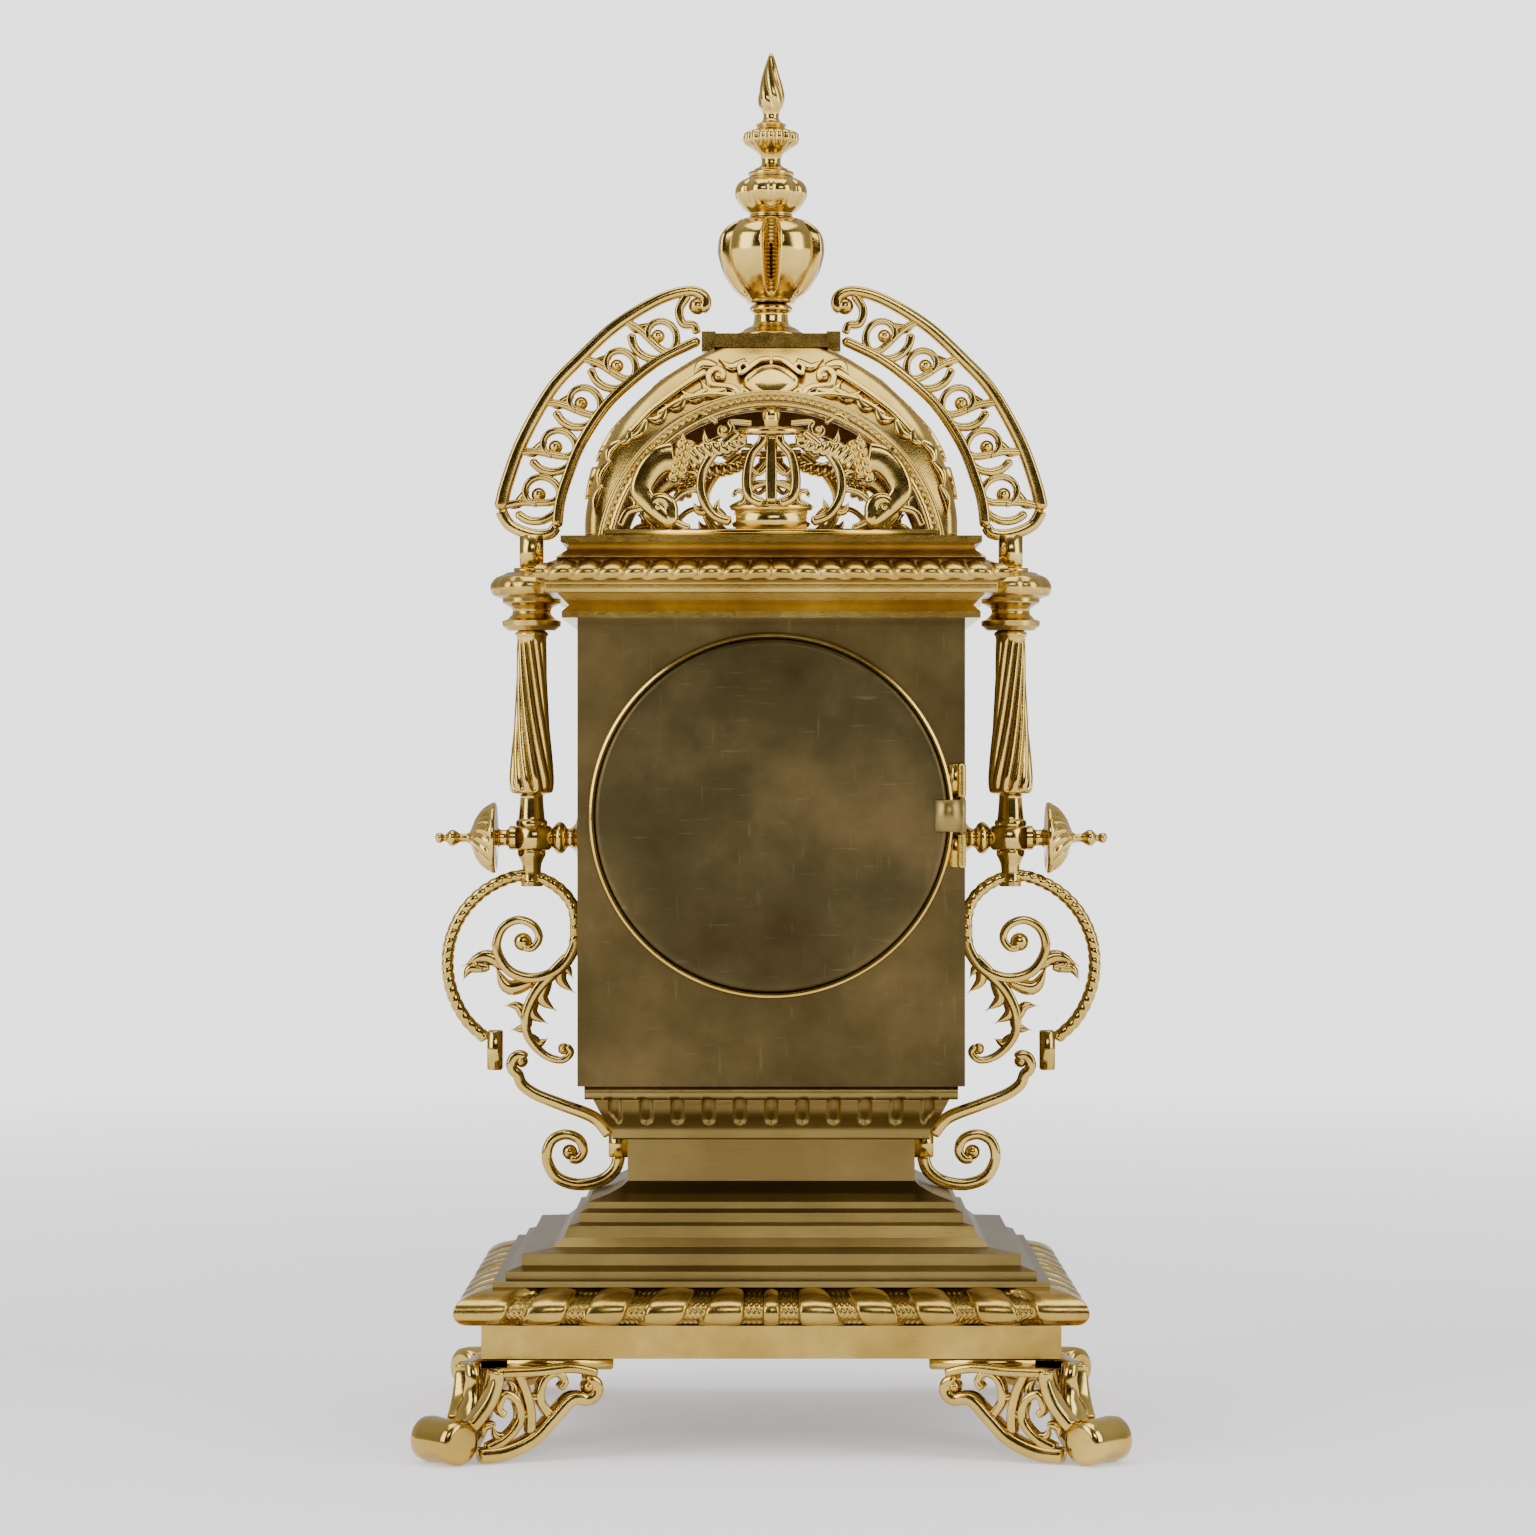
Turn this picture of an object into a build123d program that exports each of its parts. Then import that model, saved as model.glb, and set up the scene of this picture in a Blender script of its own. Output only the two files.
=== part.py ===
"""Gilt brass mantel clock in the Renaissance revival style, with its round movement.

The origin is at the bottom centre, on the surface that the feet stand on. +Z is up, the rear
door faces -Y, the dial faces +Y, and +X is to the right of someone facing the rear door.
"""
from build123d import *
import os
from math import atan2, cos, degrees, pi, radians, sin

os.makedirs("parts", exist_ok=True)

# ---- driving dimensions, mm ----
BASE_HX = 88.0          # half width of the base apron
DEPTH_CUT = 17.0        # how much less the half depth of base and waist is than the half width
BASE_WALL = 7.0         # wall of the hollow base frames
FOOT_H = 30.0           # the apron's underside over the floor
APRON_H = 10.0
RIM_H = 11.3            # height of the gadrooned base rim
RIM_OUT = 8.0           # how far the rim stands out past the apron
PLINTH_H = 28.7         # the steps, from rim to waist
WAIST_IN = 15.0         # how much less the waist's half width is than the case's
WAIST_H = 13.5
COLLAR_H = 17.2
CASE_HX = 60.0
CASE_HY = 45.0
CASE_H = 144.9
PLATE = 2.0             # case plates
DIAL_UP = 83.8          # dial and door centre over the case's foot
DOOR_R = 54.3
DOOR_RING_R = 56.6
DOOR_HOLE_R = 50.0
DOOR_T = 1.6
CORNICE_H = 25.4
COLUMN_OUT = 16.6       # axis of the columns, posts and ears out from the case's side
DOME_H = 61.5
CAP_HX = 18.2
CAP_HY = 16.0
CAP_T = 4.4
SCROLL_T = 5.0          # thickness of the flat cast scrolls
PIN_DROP = 7.4          # axis of the horizontal rosette pins below the dial centre
MOVEMENT_R = 46.0
FRONT_PLATE_Y = 33.0    # rear face of the movement's front plate
BACK_PLATE_Y = -3.0     # front face of the movement's back plate
PLATE_T = 2.0
RUN = 0.05              # radial running clearance of a pivot in its hole
PIVOT_R = 1.0
SEAT = 0.3              # clearance between pieces that pass each other
MODULE = 0.8            # size of the train's teeth: pitch diameter over teeth
BARREL_MODULE = 0.6
WHEEL_TEETH = 48
PINION_TEETH = 12
BARREL_TEETH = 60
WHEEL_T = 2.0
BEZEL_R = 57.0
BEZEL_IN_R = 46.0
DIAL_R = 52.0
HINGE_R = 1.3
PENDULUM_L = 88.0
BELL_R = 27.0

# ---- heights that follow ----
APRON_Z = FOOT_H
RIM_Z = APRON_Z + APRON_H
PLINTH_Z = RIM_Z + RIM_H
WAIST_Z = PLINTH_Z + PLINTH_H
COLLAR_Z = WAIST_Z + WAIST_H
CASE_Z = COLLAR_Z + COLLAR_H
CORNICE_Z = CASE_Z + CASE_H
DOME_Z = CORNICE_Z + CORNICE_H
CAP_Z = DOME_Z + DOME_H
FINIAL_Z = CAP_Z + CAP_T
AXIS_Z = CASE_Z + DIAL_UP
PIN_Z = AXIS_Z - PIN_DROP
BASE_HY = BASE_HX - DEPTH_CUT
EAR_X = CASE_HX + COLUMN_OUT
WAIST_HX = CASE_HX - WAIST_IN
WAIST_HY = WAIST_HX - DEPTH_CUT


def save(shape, node):
    """Write one piece, or one group of like pieces, to its own file."""
    export_step(shape, "parts/" + node + ".step")


def slab(x0, x1, y0, y1, z0, z1):
    """A block between two corners."""
    return Pos((x0 + x1) / 2, (y0 + y1) / 2, (z0 + z1) / 2) * Box(x1 - x0, y1 - y0, z1 - z0)


def rod(radius, y0, y1, x, z):
    """A round bar along Y."""
    return Pos(x, (y0 + y1) / 2, z) * Rot(90, 0, 0) * Cylinder(radius, y1 - y0)


def rod_x(radius, x0, x1, y, z):
    """A round bar along X."""
    return Pos((x0 + x1) / 2, y, z) * Rot(0, 90, 0) * Cylinder(radius, x1 - x0)


def moulding(levels):
    """A rectangular moulding: one ruled loft through (half width, half depth, height) levels."""
    rings = [Pos(0, 0, z) * Rectangle(2 * hx, 2 * hy) for hx, hy, z in levels]
    return loft(rings, ruled=True)


def turned(profile):
    """A turned piece about Z from (radius, height) points, closed along its axis."""
    low, high = profile[0][1], profile[-1][1]
    outline = Polyline((0, low), *profile, (0, high), close=True)
    return revolve(Plane.XZ * make_face(outline), Axis.Z)


def band(points, width, end_width, thick):
    """A flat cast scroll in the XZ plane: a strip of tapering width along a smooth line."""
    line = Spline(*points)
    count = 3 * len(points)
    left, right = [], []
    for i in range(count + 1):
        at = line @ (i / count)
        along = line % (i / count)
        half = (width + (end_width - width) * i / count) / 2
        side = Vector(-along.Y, along.X) * half
        left.append(at + side)
        right.append(at - side)
    face = make_face([Spline(*left), Line(left[-1], right[-1]), Spline(*right), Line(left[0], right[0])])
    return extrude(Plane.XZ * face, thick / 2, both=True)


def spiral(cx, cz, start_r, end_r, start_deg, turn_deg, steps=10):
    """Points of a volute about (cx, cz)."""
    points = []
    for i in range(steps + 1):
        share = i / steps
        radius = start_r + (end_r - start_r) * share
        angle = radians(start_deg + turn_deg * share)
        points.append((cx + radius * cos(angle), cz + radius * sin(angle)))
    return points


def mirrored(shape):
    """The same piece on the +X side."""
    return mirror(shape, Plane.YZ)


# ---- feet and base ----
TOE_R = 7.0
TOE_L = 17.7
TOE_X = 98.4
TOE_Y = BASE_HY + 11.0
FOOT_ARM = 40.0         # length of each pad arm under the apron
FOOT_PAD = 3.3
FOOT_WEB = 5.0
FOOT_VOLUTE_R = 4.6
TOE_SINK = 0.12         # flat worn on the toe where it stands


def foot_wing(x0, y0, x1, y1):
    """One wing: a pierced cheek over an S-curved sole, from the inner volute down to the toe."""
    run = ((x1 - x0) ** 2 + (y1 - y0) ** 2) ** 0.5
    sole = Spline((4, 17.4), (0.25 * run, 16.0), (0.48 * run, 7.5), (0.74 * run, 1.6), (run, 1.2))
    arris = Spline((run, 9.0), (0.86 * run, 12.5), (0.76 * run, 20.0), (0.72 * run, FOOT_H - 1))
    top = Polyline(arris @ 1, (4, FOOT_H - 1), (4, 17.4))
    outline = make_face([sole, Line(sole @ 1, arris @ 0), arris, top])
    cheek = extrude(Plane.XZ * outline, FOOT_WEB / 2, both=True)
    cheek += rod(FOOT_VOLUTE_R, -FOOT_WEB / 2 - 0.4, FOOT_WEB / 2 + 0.4, 4, 21.8)
    for u, z, radius in ((0.60, 19.5, 4.0), (0.70, 10.5, 2.6), (0.40, 21.5, 3.0), (0.52, 12.5, 1.8)):
        cheek -= rod(radius, -FOOT_WEB, FOOT_WEB, u * run, z)
    return Pos(x0, y0, 0) * Rot(0, 0, degrees(atan2(y1 - y0, x1 - x0))) * cheek


def foot():
    """The rear left foot: two wings, a roll toe across the corner and an L-shaped pad."""
    inner = FOOT_WEB / 2 + 0.5
    pad = slab(-BASE_HX, -BASE_HX + FOOT_ARM, -BASE_HY, -BASE_HY + 8, FOOT_H - FOOT_PAD, FOOT_H)
    pad += slab(-BASE_HX, -BASE_HX + 8, -BASE_HY, -BASE_HY + FOOT_ARM, FOOT_H - FOOT_PAD, FOOT_H)
    rear = foot_wing(-BASE_HX + FOOT_ARM - 4, -BASE_HY + inner, -TOE_X + 6, -TOE_Y - 3)
    side = foot_wing(-BASE_HX + inner, -BASE_HY + FOOT_ARM - 4, -TOE_X - 3, -TOE_Y + 6)
    roll = Pos(-TOE_X, -TOE_Y, TOE_R - TOE_SINK) * Rot(0, 0, -45) * Rot(0, 90, 0)
    toe = roll * Cylinder(TOE_R, TOE_L)
    floor = slab(-2 * BASE_HX, 0, -2 * BASE_HX, 0, 0, FOOT_H)
    return (pad + rear + side + toe) & floor


def base():
    """Apron, gadrooned rim and stepped plinth; apron and rim are open frames below the plinth."""
    hollow = slab(-BASE_HX + BASE_WALL, BASE_HX - BASE_WALL, -BASE_HY + BASE_WALL,
                  BASE_HY - BASE_WALL, APRON_Z, PLINTH_Z)
    apron = slab(-BASE_HX, BASE_HX, -BASE_HY, BASE_HY, APRON_Z, RIM_Z) - hollow
    rim_steps = ((0.0, 0.0), (5.5, 0.08), (RIM_OUT, 0.33), (RIM_OUT - 0.4, 0.55), (4.5, 0.8), (-3.0, 1.0))
    rim = moulding([(BASE_HX + out, BASE_HY + out, RIM_Z + RIM_H * up) for out, up in rim_steps]) - hollow
    steps = ((-3.2, 0.0), (-3.2, 0.06), (-7.0, 0.06), (-7.0, 0.15), (-11.6, 0.2), (-11.6, 0.32),
             (-20.8, 0.36), (-24.0, 0.45), (-25.3, 0.57), (-28.5, 0.6), (-28.5, 0.7), (-31.1, 0.74),
             (-31.1, 0.81), (-37.5, 0.88), (-41.5, 0.95), (-43.0, 1.0))
    levels = [(BASE_HX + out, BASE_HY + out, PLINTH_Z + PLINTH_H * up) for out, up in steps]
    plinth = None
    for low, high in zip(levels, levels[1:]):
        if high[2] > low[2]:
            slice_ = moulding([low, high])
            plinth = slice_ if plinth is None else plinth + slice_
    return apron, rim, plinth


def collar():
    """The collar's core: fillets, a plain ovolo and the neck under the case."""
    gap = CASE_HX - CASE_HY
    steps = ((-10.5, 0.0), (-10.5, 0.2), (-4.5, 0.72), (-2.0, 0.76), (-2.0, 1.0))
    levels = [(CASE_HX + out, CASE_HX + out - gap, COLLAR_Z + COLLAR_H * up) for out, up in steps]
    return moulding(levels)


foot_rear_left = foot()
foot_front_left = mirror(foot_rear_left, Plane.XZ)
save(foot_rear_left, "foot_rear_left")
save(mirrored(foot_rear_left), "foot_rear_right")
save(foot_front_left, "foot_front_left")
save(mirrored(foot_front_left), "foot_front_right")
base_apron, base_rim, base_plinth = base()
save(base_apron, "base_apron")
save(base_rim, "base_gadroon_rim")
save(base_plinth, "base_plinth")
save(slab(-WAIST_HX, WAIST_HX, -WAIST_HY, WAIST_HY, WAIST_Z, COLLAR_Z), "waist_block")
save(collar(), "fluted_collar")


# ---- case, rear door and cornice ----
def case_plates():
    """Rear and front plates with their round openings, two side plates and the floor."""
    rear = slab(-CASE_HX, CASE_HX, -CASE_HY, -CASE_HY + PLATE, CASE_Z, CORNICE_Z)
    rear -= rod(DOOR_HOLE_R, -CASE_HY - 1, -CASE_HY + PLATE + 1, 0, AXIS_Z)
    front = slab(-CASE_HX, CASE_HX, CASE_HY - PLATE, CASE_HY, CASE_Z, CORNICE_Z)
    front -= rod(BEZEL_IN_R, CASE_HY - PLATE - 1, CASE_HY + 1, 0, AXIS_Z)
    side = slab(-CASE_HX, -CASE_HX + PLATE, -CASE_HY + PLATE, CASE_HY - PLATE, CASE_Z, CORNICE_Z)
    floor = slab(-CASE_HX + PLATE, CASE_HX - PLATE, -CASE_HY + PLATE, CASE_HY - PLATE, CASE_Z,
                 CASE_Z + PLATE)
    return rear, front, side, floor


DOOR_RING_T = 2.6       # how far the door's ring stands out from the case
DOOR_RING_IN = DOOR_R + SEAT
HINGE_X = DOOR_RING_R + HINGE_R + 1.0
HINGE_Y = -CASE_HY - HINGE_R - 0.6
HINGE_L = 32.0
HINGE_LEAF = 1.0
HINGE_PIN_R = 0.6


def hinge_knuckles(spans):
    """Knuckles of the door's hinge, bored for its pin."""
    shape = None
    for z0, z1 in spans:
        knuckle = Pos(HINGE_X, HINGE_Y, AXIS_Z + (z0 + z1) / 2) * Cylinder(HINGE_R, z1 - z0)
        shape = knuckle if shape is None else shape + knuckle
    return shape - Pos(HINGE_X, HINGE_Y, AXIS_Z) * Cylinder(HINGE_PIN_R + RUN, 2 * HINGE_L)



def rear_door():
    """The door ring with its fixed knuckles, the pin, and the domed door with its own knuckle."""
    ring = rod(DOOR_RING_R, -CASE_HY - DOOR_RING_T, -CASE_HY, 0, AXIS_Z)
    ring -= rod(DOOR_RING_IN, -CASE_HY - DOOR_RING_T - 1, -CASE_HY + 1, 0, AXIS_Z)
    third = HINGE_L / 6
    clear = Pos(HINGE_X, HINGE_Y, AXIS_Z) * Cylinder(HINGE_R + SEAT, 2 * third + 2 * SEAT)
    ring -= clear
    for low, high in ((-3 * third, -third - SEAT), (third + SEAT, 3 * third)):
        ring += slab(DOOR_RING_R - 1.5, HINGE_X, -CASE_HY - HINGE_LEAF, -CASE_HY,
                     AXIS_Z + low, AXIS_Z + high)
    ring += hinge_knuckles(((-3 * third, -third - SEAT), (third + SEAT, 3 * third)))
    pin = Pos(HINGE_X, HINGE_Y, AXIS_Z) * Cylinder(HINGE_PIN_R, HINGE_L)
    top = -CASE_HY - DOOR_RING_T - SEAT
    door = rod(DOOR_R, top - DOOR_T, top, 0, AXIS_Z)
    door += rod(DOOR_HOLE_R - 1.0, top, -CASE_HY + 1.0, 0, AXIS_Z)
    door -= rod(DOOR_HOLE_R - 3.0, top, -CASE_HY + 2.0, 0, AXIS_Z)
    door += slab(DOOR_R - 4, HINGE_X, top - DOOR_T, top, AXIS_Z - third + SEAT, AXIS_Z + third - SEAT)
    door += hinge_knuckles(((-third + SEAT, third - SEAT),))
    link = slab(HINGE_X - 0.9, HINGE_X + 0.9, top - DOOR_T, HINGE_Y - HINGE_PIN_R - 0.2,
                AXIS_Z - third + SEAT, AXIS_Z + third - SEAT)
    door += link
    return ring, pin, door


def cornice():
    """Lower moulding, gadrooned rim with an ear at each side, and the upper moulding."""
    cut = CASE_HX - CASE_HY
    lower = moulding([(CASE_HX + out, CASE_HX + out - cut, CORNICE_Z + z) for out, z in
                      ((4.6, 0), (4.6, 2.0), (2.5, 4.0), (6.0, 7.6))])
    rim = moulding([(CASE_HX + out, CASE_HX + out - cut, CORNICE_Z + z) for out, z in
                    ((10.0, 7.6), (11.5, 11.4), (13.0, 14.0), (10.5, 17.0), (4.0, 18.6))])
    ear = turned(((8.0, -7.6), (9.4, -6.4), (9.4, -4.6), (7.4, -3.6), (6.4, -0.6), (9.0, 1.2), (9.0, 2.4),
                  (12.6, 3.4), (13.4, 6.4), (12.6, 9.4), (8.4, 11.0)))
    neck = slab(-EAR_X, -CASE_HX - 8.0, -9.0, 9.0, 2.4, 10.4)
    for side in (-1, 1):
        rim += Pos(side * EAR_X, 0, CORNICE_Z + 5.4) * ear
        rim += Pos(0, 0, CORNICE_Z + 5.4) * (neck if side < 0 else mirrored(neck))
    rim -= slab(-CASE_HX - 6.1, CASE_HX + 6.1, -CASE_HY - 6.1, CASE_HY + 6.1, CORNICE_Z - 3,
                CORNICE_Z + 7.6)
    upper = moulding([(CASE_HX + out, CASE_HX + out - cut, CORNICE_Z + z) for out, z in
                      ((6.4, 18.6), (3.2, 21.0), (2.6, 22.6), (5.0, 23.4), (5.0, CORNICE_H))])
    return lower, rim, upper


case_rear, case_front, case_side, case_floor = case_plates()
save(case_rear, "case_rear_plate")

save(case_side, "case_left_plate")
save(mirrored(case_side), "case_right_plate")
save(case_floor, "case_floor_plate")
door_ring, door_pin, door_disc = rear_door()
save(door_ring, "rear_door_ring")
save(door_pin, "rear_door_hinge_pin")
save(door_disc, "rear_door")
cornice_lower, cornice_rim, cornice_upper = cornice()
save(cornice_lower, "cornice_lower_moulding")
save(cornice_rim, "cornice_gadroon_rim")
save(cornice_upper, "cornice_upper_moulding")


# ---- dome, cap and finial ----
DOME_T = 3.0
ARCH_R = 49.6           # opening of the front and rear lunettes
ARCH_DROP = 9.4         # how far the arch's centre lies below the dome's foot
ARCH_BAND = 5.0
LUNETTE_T = 3.0
SIDE_ARCH_R = 34.0


def dome_solid(inset):
    """The dome's four-sided bell, set in by a wall thickness."""
    steps = ((2.0, 3.0, 0.0), (2.4, 3.4, 0.146), (5.0, 5.5, 0.319), (9.0, 8.5, 0.498), (15.0, 13.0, 0.644),
             (24.0, 19.0, 0.807), (34.4, 25.0, 0.927))
    levels = [(CASE_HX - in_x, CASE_HY - in_y, DOME_H * up) for in_x, in_y, up in steps]
    levels.append((CAP_HX, CAP_HY, DOME_H))
    return moulding([(hx - inset, hy - inset, DOME_Z + up - (inset if up else 0))
                     for hx, hy, up in levels])


def dome():
    """The hollow dome, open under all four arches."""
    shell = dome_solid(0) - dome_solid(DOME_T)
    shell -= slab(-58 + DOME_T, 58 - DOME_T, -42 + DOME_T, 42 - DOME_T, DOME_Z - 1, DOME_Z + 1)
    above = slab(-70, 70, -70, 70, DOME_Z + 2, CAP_Z)
    shell -= rod(ARCH_R, -60, 60, 0, DOME_Z - ARCH_DROP) & above
    shell -= rod_x(SIDE_ARCH_R, -70, 70, 0, DOME_Z - 4) & above
    return shell


def lunette(y0):
    """A pierced lunette: its arch and sill, a centre urn on a table, and a horn at each side."""
    y1 = y0 + LUNETTE_T
    above = slab(-70, 70, y0 - 1, y1 + 1, DOME_Z, CAP_Z)
    arch = rod(ARCH_R + ARCH_BAND, y0, y1, 0, DOME_Z - ARCH_DROP) & above
    arch -= rod(ARCH_R, y0 - 1, y1 + 1, 0, DOME_Z - ARCH_DROP)
    sill = slab(-ARCH_R - 2, ARCH_R + 2, y0, y1, DOME_Z, DOME_Z + 2.4)
    piece = arch + sill
    piece += slab(-12, 12, y0, y1, DOME_Z + 2, DOME_Z + 11)
    piece += slab(-3.6, 3.6, y0, y1, DOME_Z + 10, DOME_Z + 32)
    piece += slab(-10, 10, y0, y1, DOME_Z + 31, DOME_Z + 34)
    piece += slab(-2.4, 2.4, y0, y1, DOME_Z + 33, DOME_Z + 42)
    middle = (y0 + y1) / 2
    for side in (-1, 1):
        horn = band([(-39, DOME_Z + 1), (-41, DOME_Z + 10), (-35, DOME_Z + 21), (-22, DOME_Z + 27),
                     (-9, DOME_Z + 33)], 9.0, 3.0, LUNETTE_T)
        horn = (Pos(0, middle, 0) * horn + rod(4.6, y0, y1, -34.5, DOME_Z + 6)) & above
        piece += horn if side < 0 else mirrored(horn)
    return piece


def cap():
    """The plate that closes the dome, with a tab at each end for the crests."""
    plate = slab(-CAP_HX, CAP_HX, -CAP_HY, CAP_HY, CAP_Z, FINIAL_Z)
    for side in (-1, 1):
        inner, outer = sorted((side * (CAP_HX - 0.5), side * (CAP_HX + 4.0)))
        plate += slab(inner, outer, -3.0, 3.0, CAP_Z, FINIAL_Z + 2.0)
    return plate


def finial():
    """Foot and stem, lobed urn, lobed knop, and the ringed flame spire, stacked on one rod."""
    z = FINIAL_Z
    foot_ = turned(((11.2, z), (11.2, z + 1.2), (9.0, z + 2.4), (5.6, z + 6.0), (5.4, z + 8.0),
                    (6.8, z + 9.0),
                    (6.8, z + 11.0)))
    urn = turned(((7.6, z + 11.0), (11.0, z + 14.0), (15.0, z + 21.0), (17.0, z + 28.5), (16.6, z + 33.0),
                  (13.0, z + 37.0), (9.0, z + 38.6)))
    knop = turned(((7.0, z + 38.6), (7.0, z + 40.0), (10.6, z + 43.0), (12.0, z + 46.8), (10.4, z + 50.0),
                   (7.0, z + 51.6), (6.8, z + 53.4)))
    spire = turned(((6.8, z + 53.4), (3.6, z + 55.0), (3.2, z + 58.6), (5.4, z + 60.0), (9.0, z + 63.4),
                    (8.6, z + 65.4), (4.0, z + 67.6), (2.6, z + 70.4), (2.6, z + 72.0), (4.2, z + 75.0),
                    (4.3, z + 78.0), (2.9, z + 84.0), (1.4, z + 89.0), (0.6, z + 91.4)))
    return foot_, urn, knop, spire


save(dome(), "dome_shell")
save(lunette(-CASE_HY - 0.5), "lunette_rear")
save(lunette(CASE_HY + 0.5 - LUNETTE_T), "lunette_front")
save(cap(), "dome_cap_plate")
for piece, node in zip(finial(), ("finial_foot", "finial_urn", "finial_knop", "finial_spire")):
    save(piece, node)


# ---- side ornaments: crest, column, bracket, rosette pin and scrolls ----
BLOCK_IN = CASE_HX + 10.3
BLOCK_OUT = BLOCK_IN + 11.3
EAR_TOP = CORNICE_Z + 16.4
EAR_FOOT = CORNICE_Z - 2.2
PIN_FOOT = PIN_Z - 3.8
POST_W = 7.5


def flat_scroll(*args):
    """A band of the scrolls' common thickness."""
    return band(*args, SCROLL_T)


def crest_at(out, up):
    """A crest point: out from the cap towards the ear's axis, and up from the ear to the cap's top."""
    return (-CAP_HX - out * (EAR_X - CAP_HX), EAR_TOP + up * (FINIAL_Z - EAR_TOP))


def crest():
    """The left crest: two ribs from post to cap, with rings of scroll between them, on its post."""
    outer = [crest_at(*share) for share in
             ((1.173, 0.267), (1.135, 0.374), (1.048, 0.561), (0.894, 0.774), (0.733, 0.914), (0.538, 1.055),
              (0.301, 1.167), (0.134, 1.196), (0.058, 1.156))]
    inner = [crest_at(*share) for share in
             ((0.863, 0.200), (0.846, 0.300), (0.808, 0.401), (0.733, 0.547), (0.599, 0.708), (0.450, 0.820),
              (0.295, 0.913), (0.144, 0.977))]
    bend = [outer[0], crest_at(1.110, 0.192), crest_at(1.0, 0.168), crest_at(0.897, 0.168), inner[0]]
    strut = [crest_at(0.134, 1.188), crest_at(0.185, 1.108), crest_at(0.144, 1.041), crest_at(0.089, 1.0)]
    shape = flat_scroll(outer, 2.8, 2.8) + flat_scroll(inner, 2.4, 2.4) + flat_scroll(bend, 2.8, 2.4)
    shape += flat_scroll(strut, 2.2, 1.8)
    half = SCROLL_T / 2
    for a, b in zip(outer[1:6], inner[1:6]):
        radius = Vector(a[0] - b[0], a[1] - b[1]).length / 2
        cx, cz = (a[0] + b[0]) / 2, (a[1] + b[1]) / 2
        shape += rod(radius, -half + 0.6, half - 0.6, cx, cz) - rod(radius - 1.8, -half, half, cx, cz)
    top = crest_at(1.0, 0.168)[1] - 0.6
    return shape + slab(-EAR_X - POST_W / 2, -EAR_X + POST_W / 2, -3, 3, EAR_TOP, top)


def column():
    """The left column, hanging taper between ear and block."""
    low = PIN_Z + 3.6
    profile = ((5.0, low), (5.0, low + 2.1), (3.7, low + 10.0), (6.6, low + 10.8), (7.35, low + 14.9),
               (6.0, low + 29.3), (5.2, low + 41.9), (4.74, EAR_FOOT - 2.4), (5.2, EAR_FOOT - 1.6),
               (5.2, EAR_FOOT))
    return Pos(-EAR_X, 0, 0) * turned(profile)


def bracket():
    """The left block and the turned collar that stands it off the case."""
    block = slab(-BLOCK_OUT, -BLOCK_IN, -5.6, 5.6, PIN_FOOT, PIN_Z + 3.6)
    collar_ = turned(((7.36, 0), (7.36, 2.1), (4.6, 3.0), (4.6, 7.6), (5.6, BLOCK_IN - CASE_HX)))
    return block + Pos(-BLOCK_IN, 0, PIN_Z) * Rot(0, 90, 0) * collar_


def rosette():
    """The left pin: a dished disc on a stem, with a beaded tip."""
    profile = ((3.9, 0), (3.9, 1.9), (2.7, 2.4), (2.7, 5.6), (11.4, 6.5), (11.4, 8.0), (9.0, 11.4),
               (3.4, 14.1),
               (1.4, 15.6), (1.4, 18.2), (2.6, 20.0), (2.4, 21.6), (1.1, 23.0), (1.7, 24.4), (0.8, 26.0))
    return Pos(-BLOCK_OUT, 0, PIN_Z) * Rot(0, -90, 0) * turned(profile)


def beside_case(*points):
    """Scroll points given as (out from the case's side, down from the pins' axis)."""
    return [(-CASE_HX - out, PIN_Z - down) for out, down in points]


def ring_scroll():
    """The left ring scroll: baluster, ring curling into a volute, leafy strand and end block."""
    ring = beside_case((30.9, 65.0), (37.9, 58.0), (42.4, 49.2), (43.7, 40.1), (42.4, 31.1), (37.9, 22.5),
                       (30.2, 15.7), (20.3, 11.9), (11.4, 13.7), (4.6, 19.6), (2.4, 27.1), (2.8, 34.7),
                       (7.5, 41.7),
                       (15.5, 44.9), (23.5, 42.7), (27.7, 35.9), (26.2, 29.3), (21.2, 26.5), (16.4, 28.5))
    strand = beside_case((11.0, 43.5), (16.5, 51.1), (18.7, 58.1), (16.0, 64.7), (10.4, 69.9), (4.9, 68.5))
    shape = flat_scroll(ring, 4.0, 3.0) + flat_scroll(strand, 4.0, 2.4)
    low = PIN_FOOT - 11.8
    shape += Pos(-EAR_X, 0, 0) * turned(((3.5, low), (3.06, low + 5.0), (4.5, low + 10.0), (4.5, PIN_FOOT)))
    (x0, z0), (x1, z1) = beside_case((30.8, 74.3), (25.7, 61.5))
    return shape + slab(x0, x1, -SCROLL_T / 2, SCROLL_T / 2, z0, z1)


def under_collar(*points):
    """Lower scroll points given as (out from the waist's side, up from the collar's foot)."""
    return [(-WAIST_HX - out, COLLAR_Z + up) for out, up in points]


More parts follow.
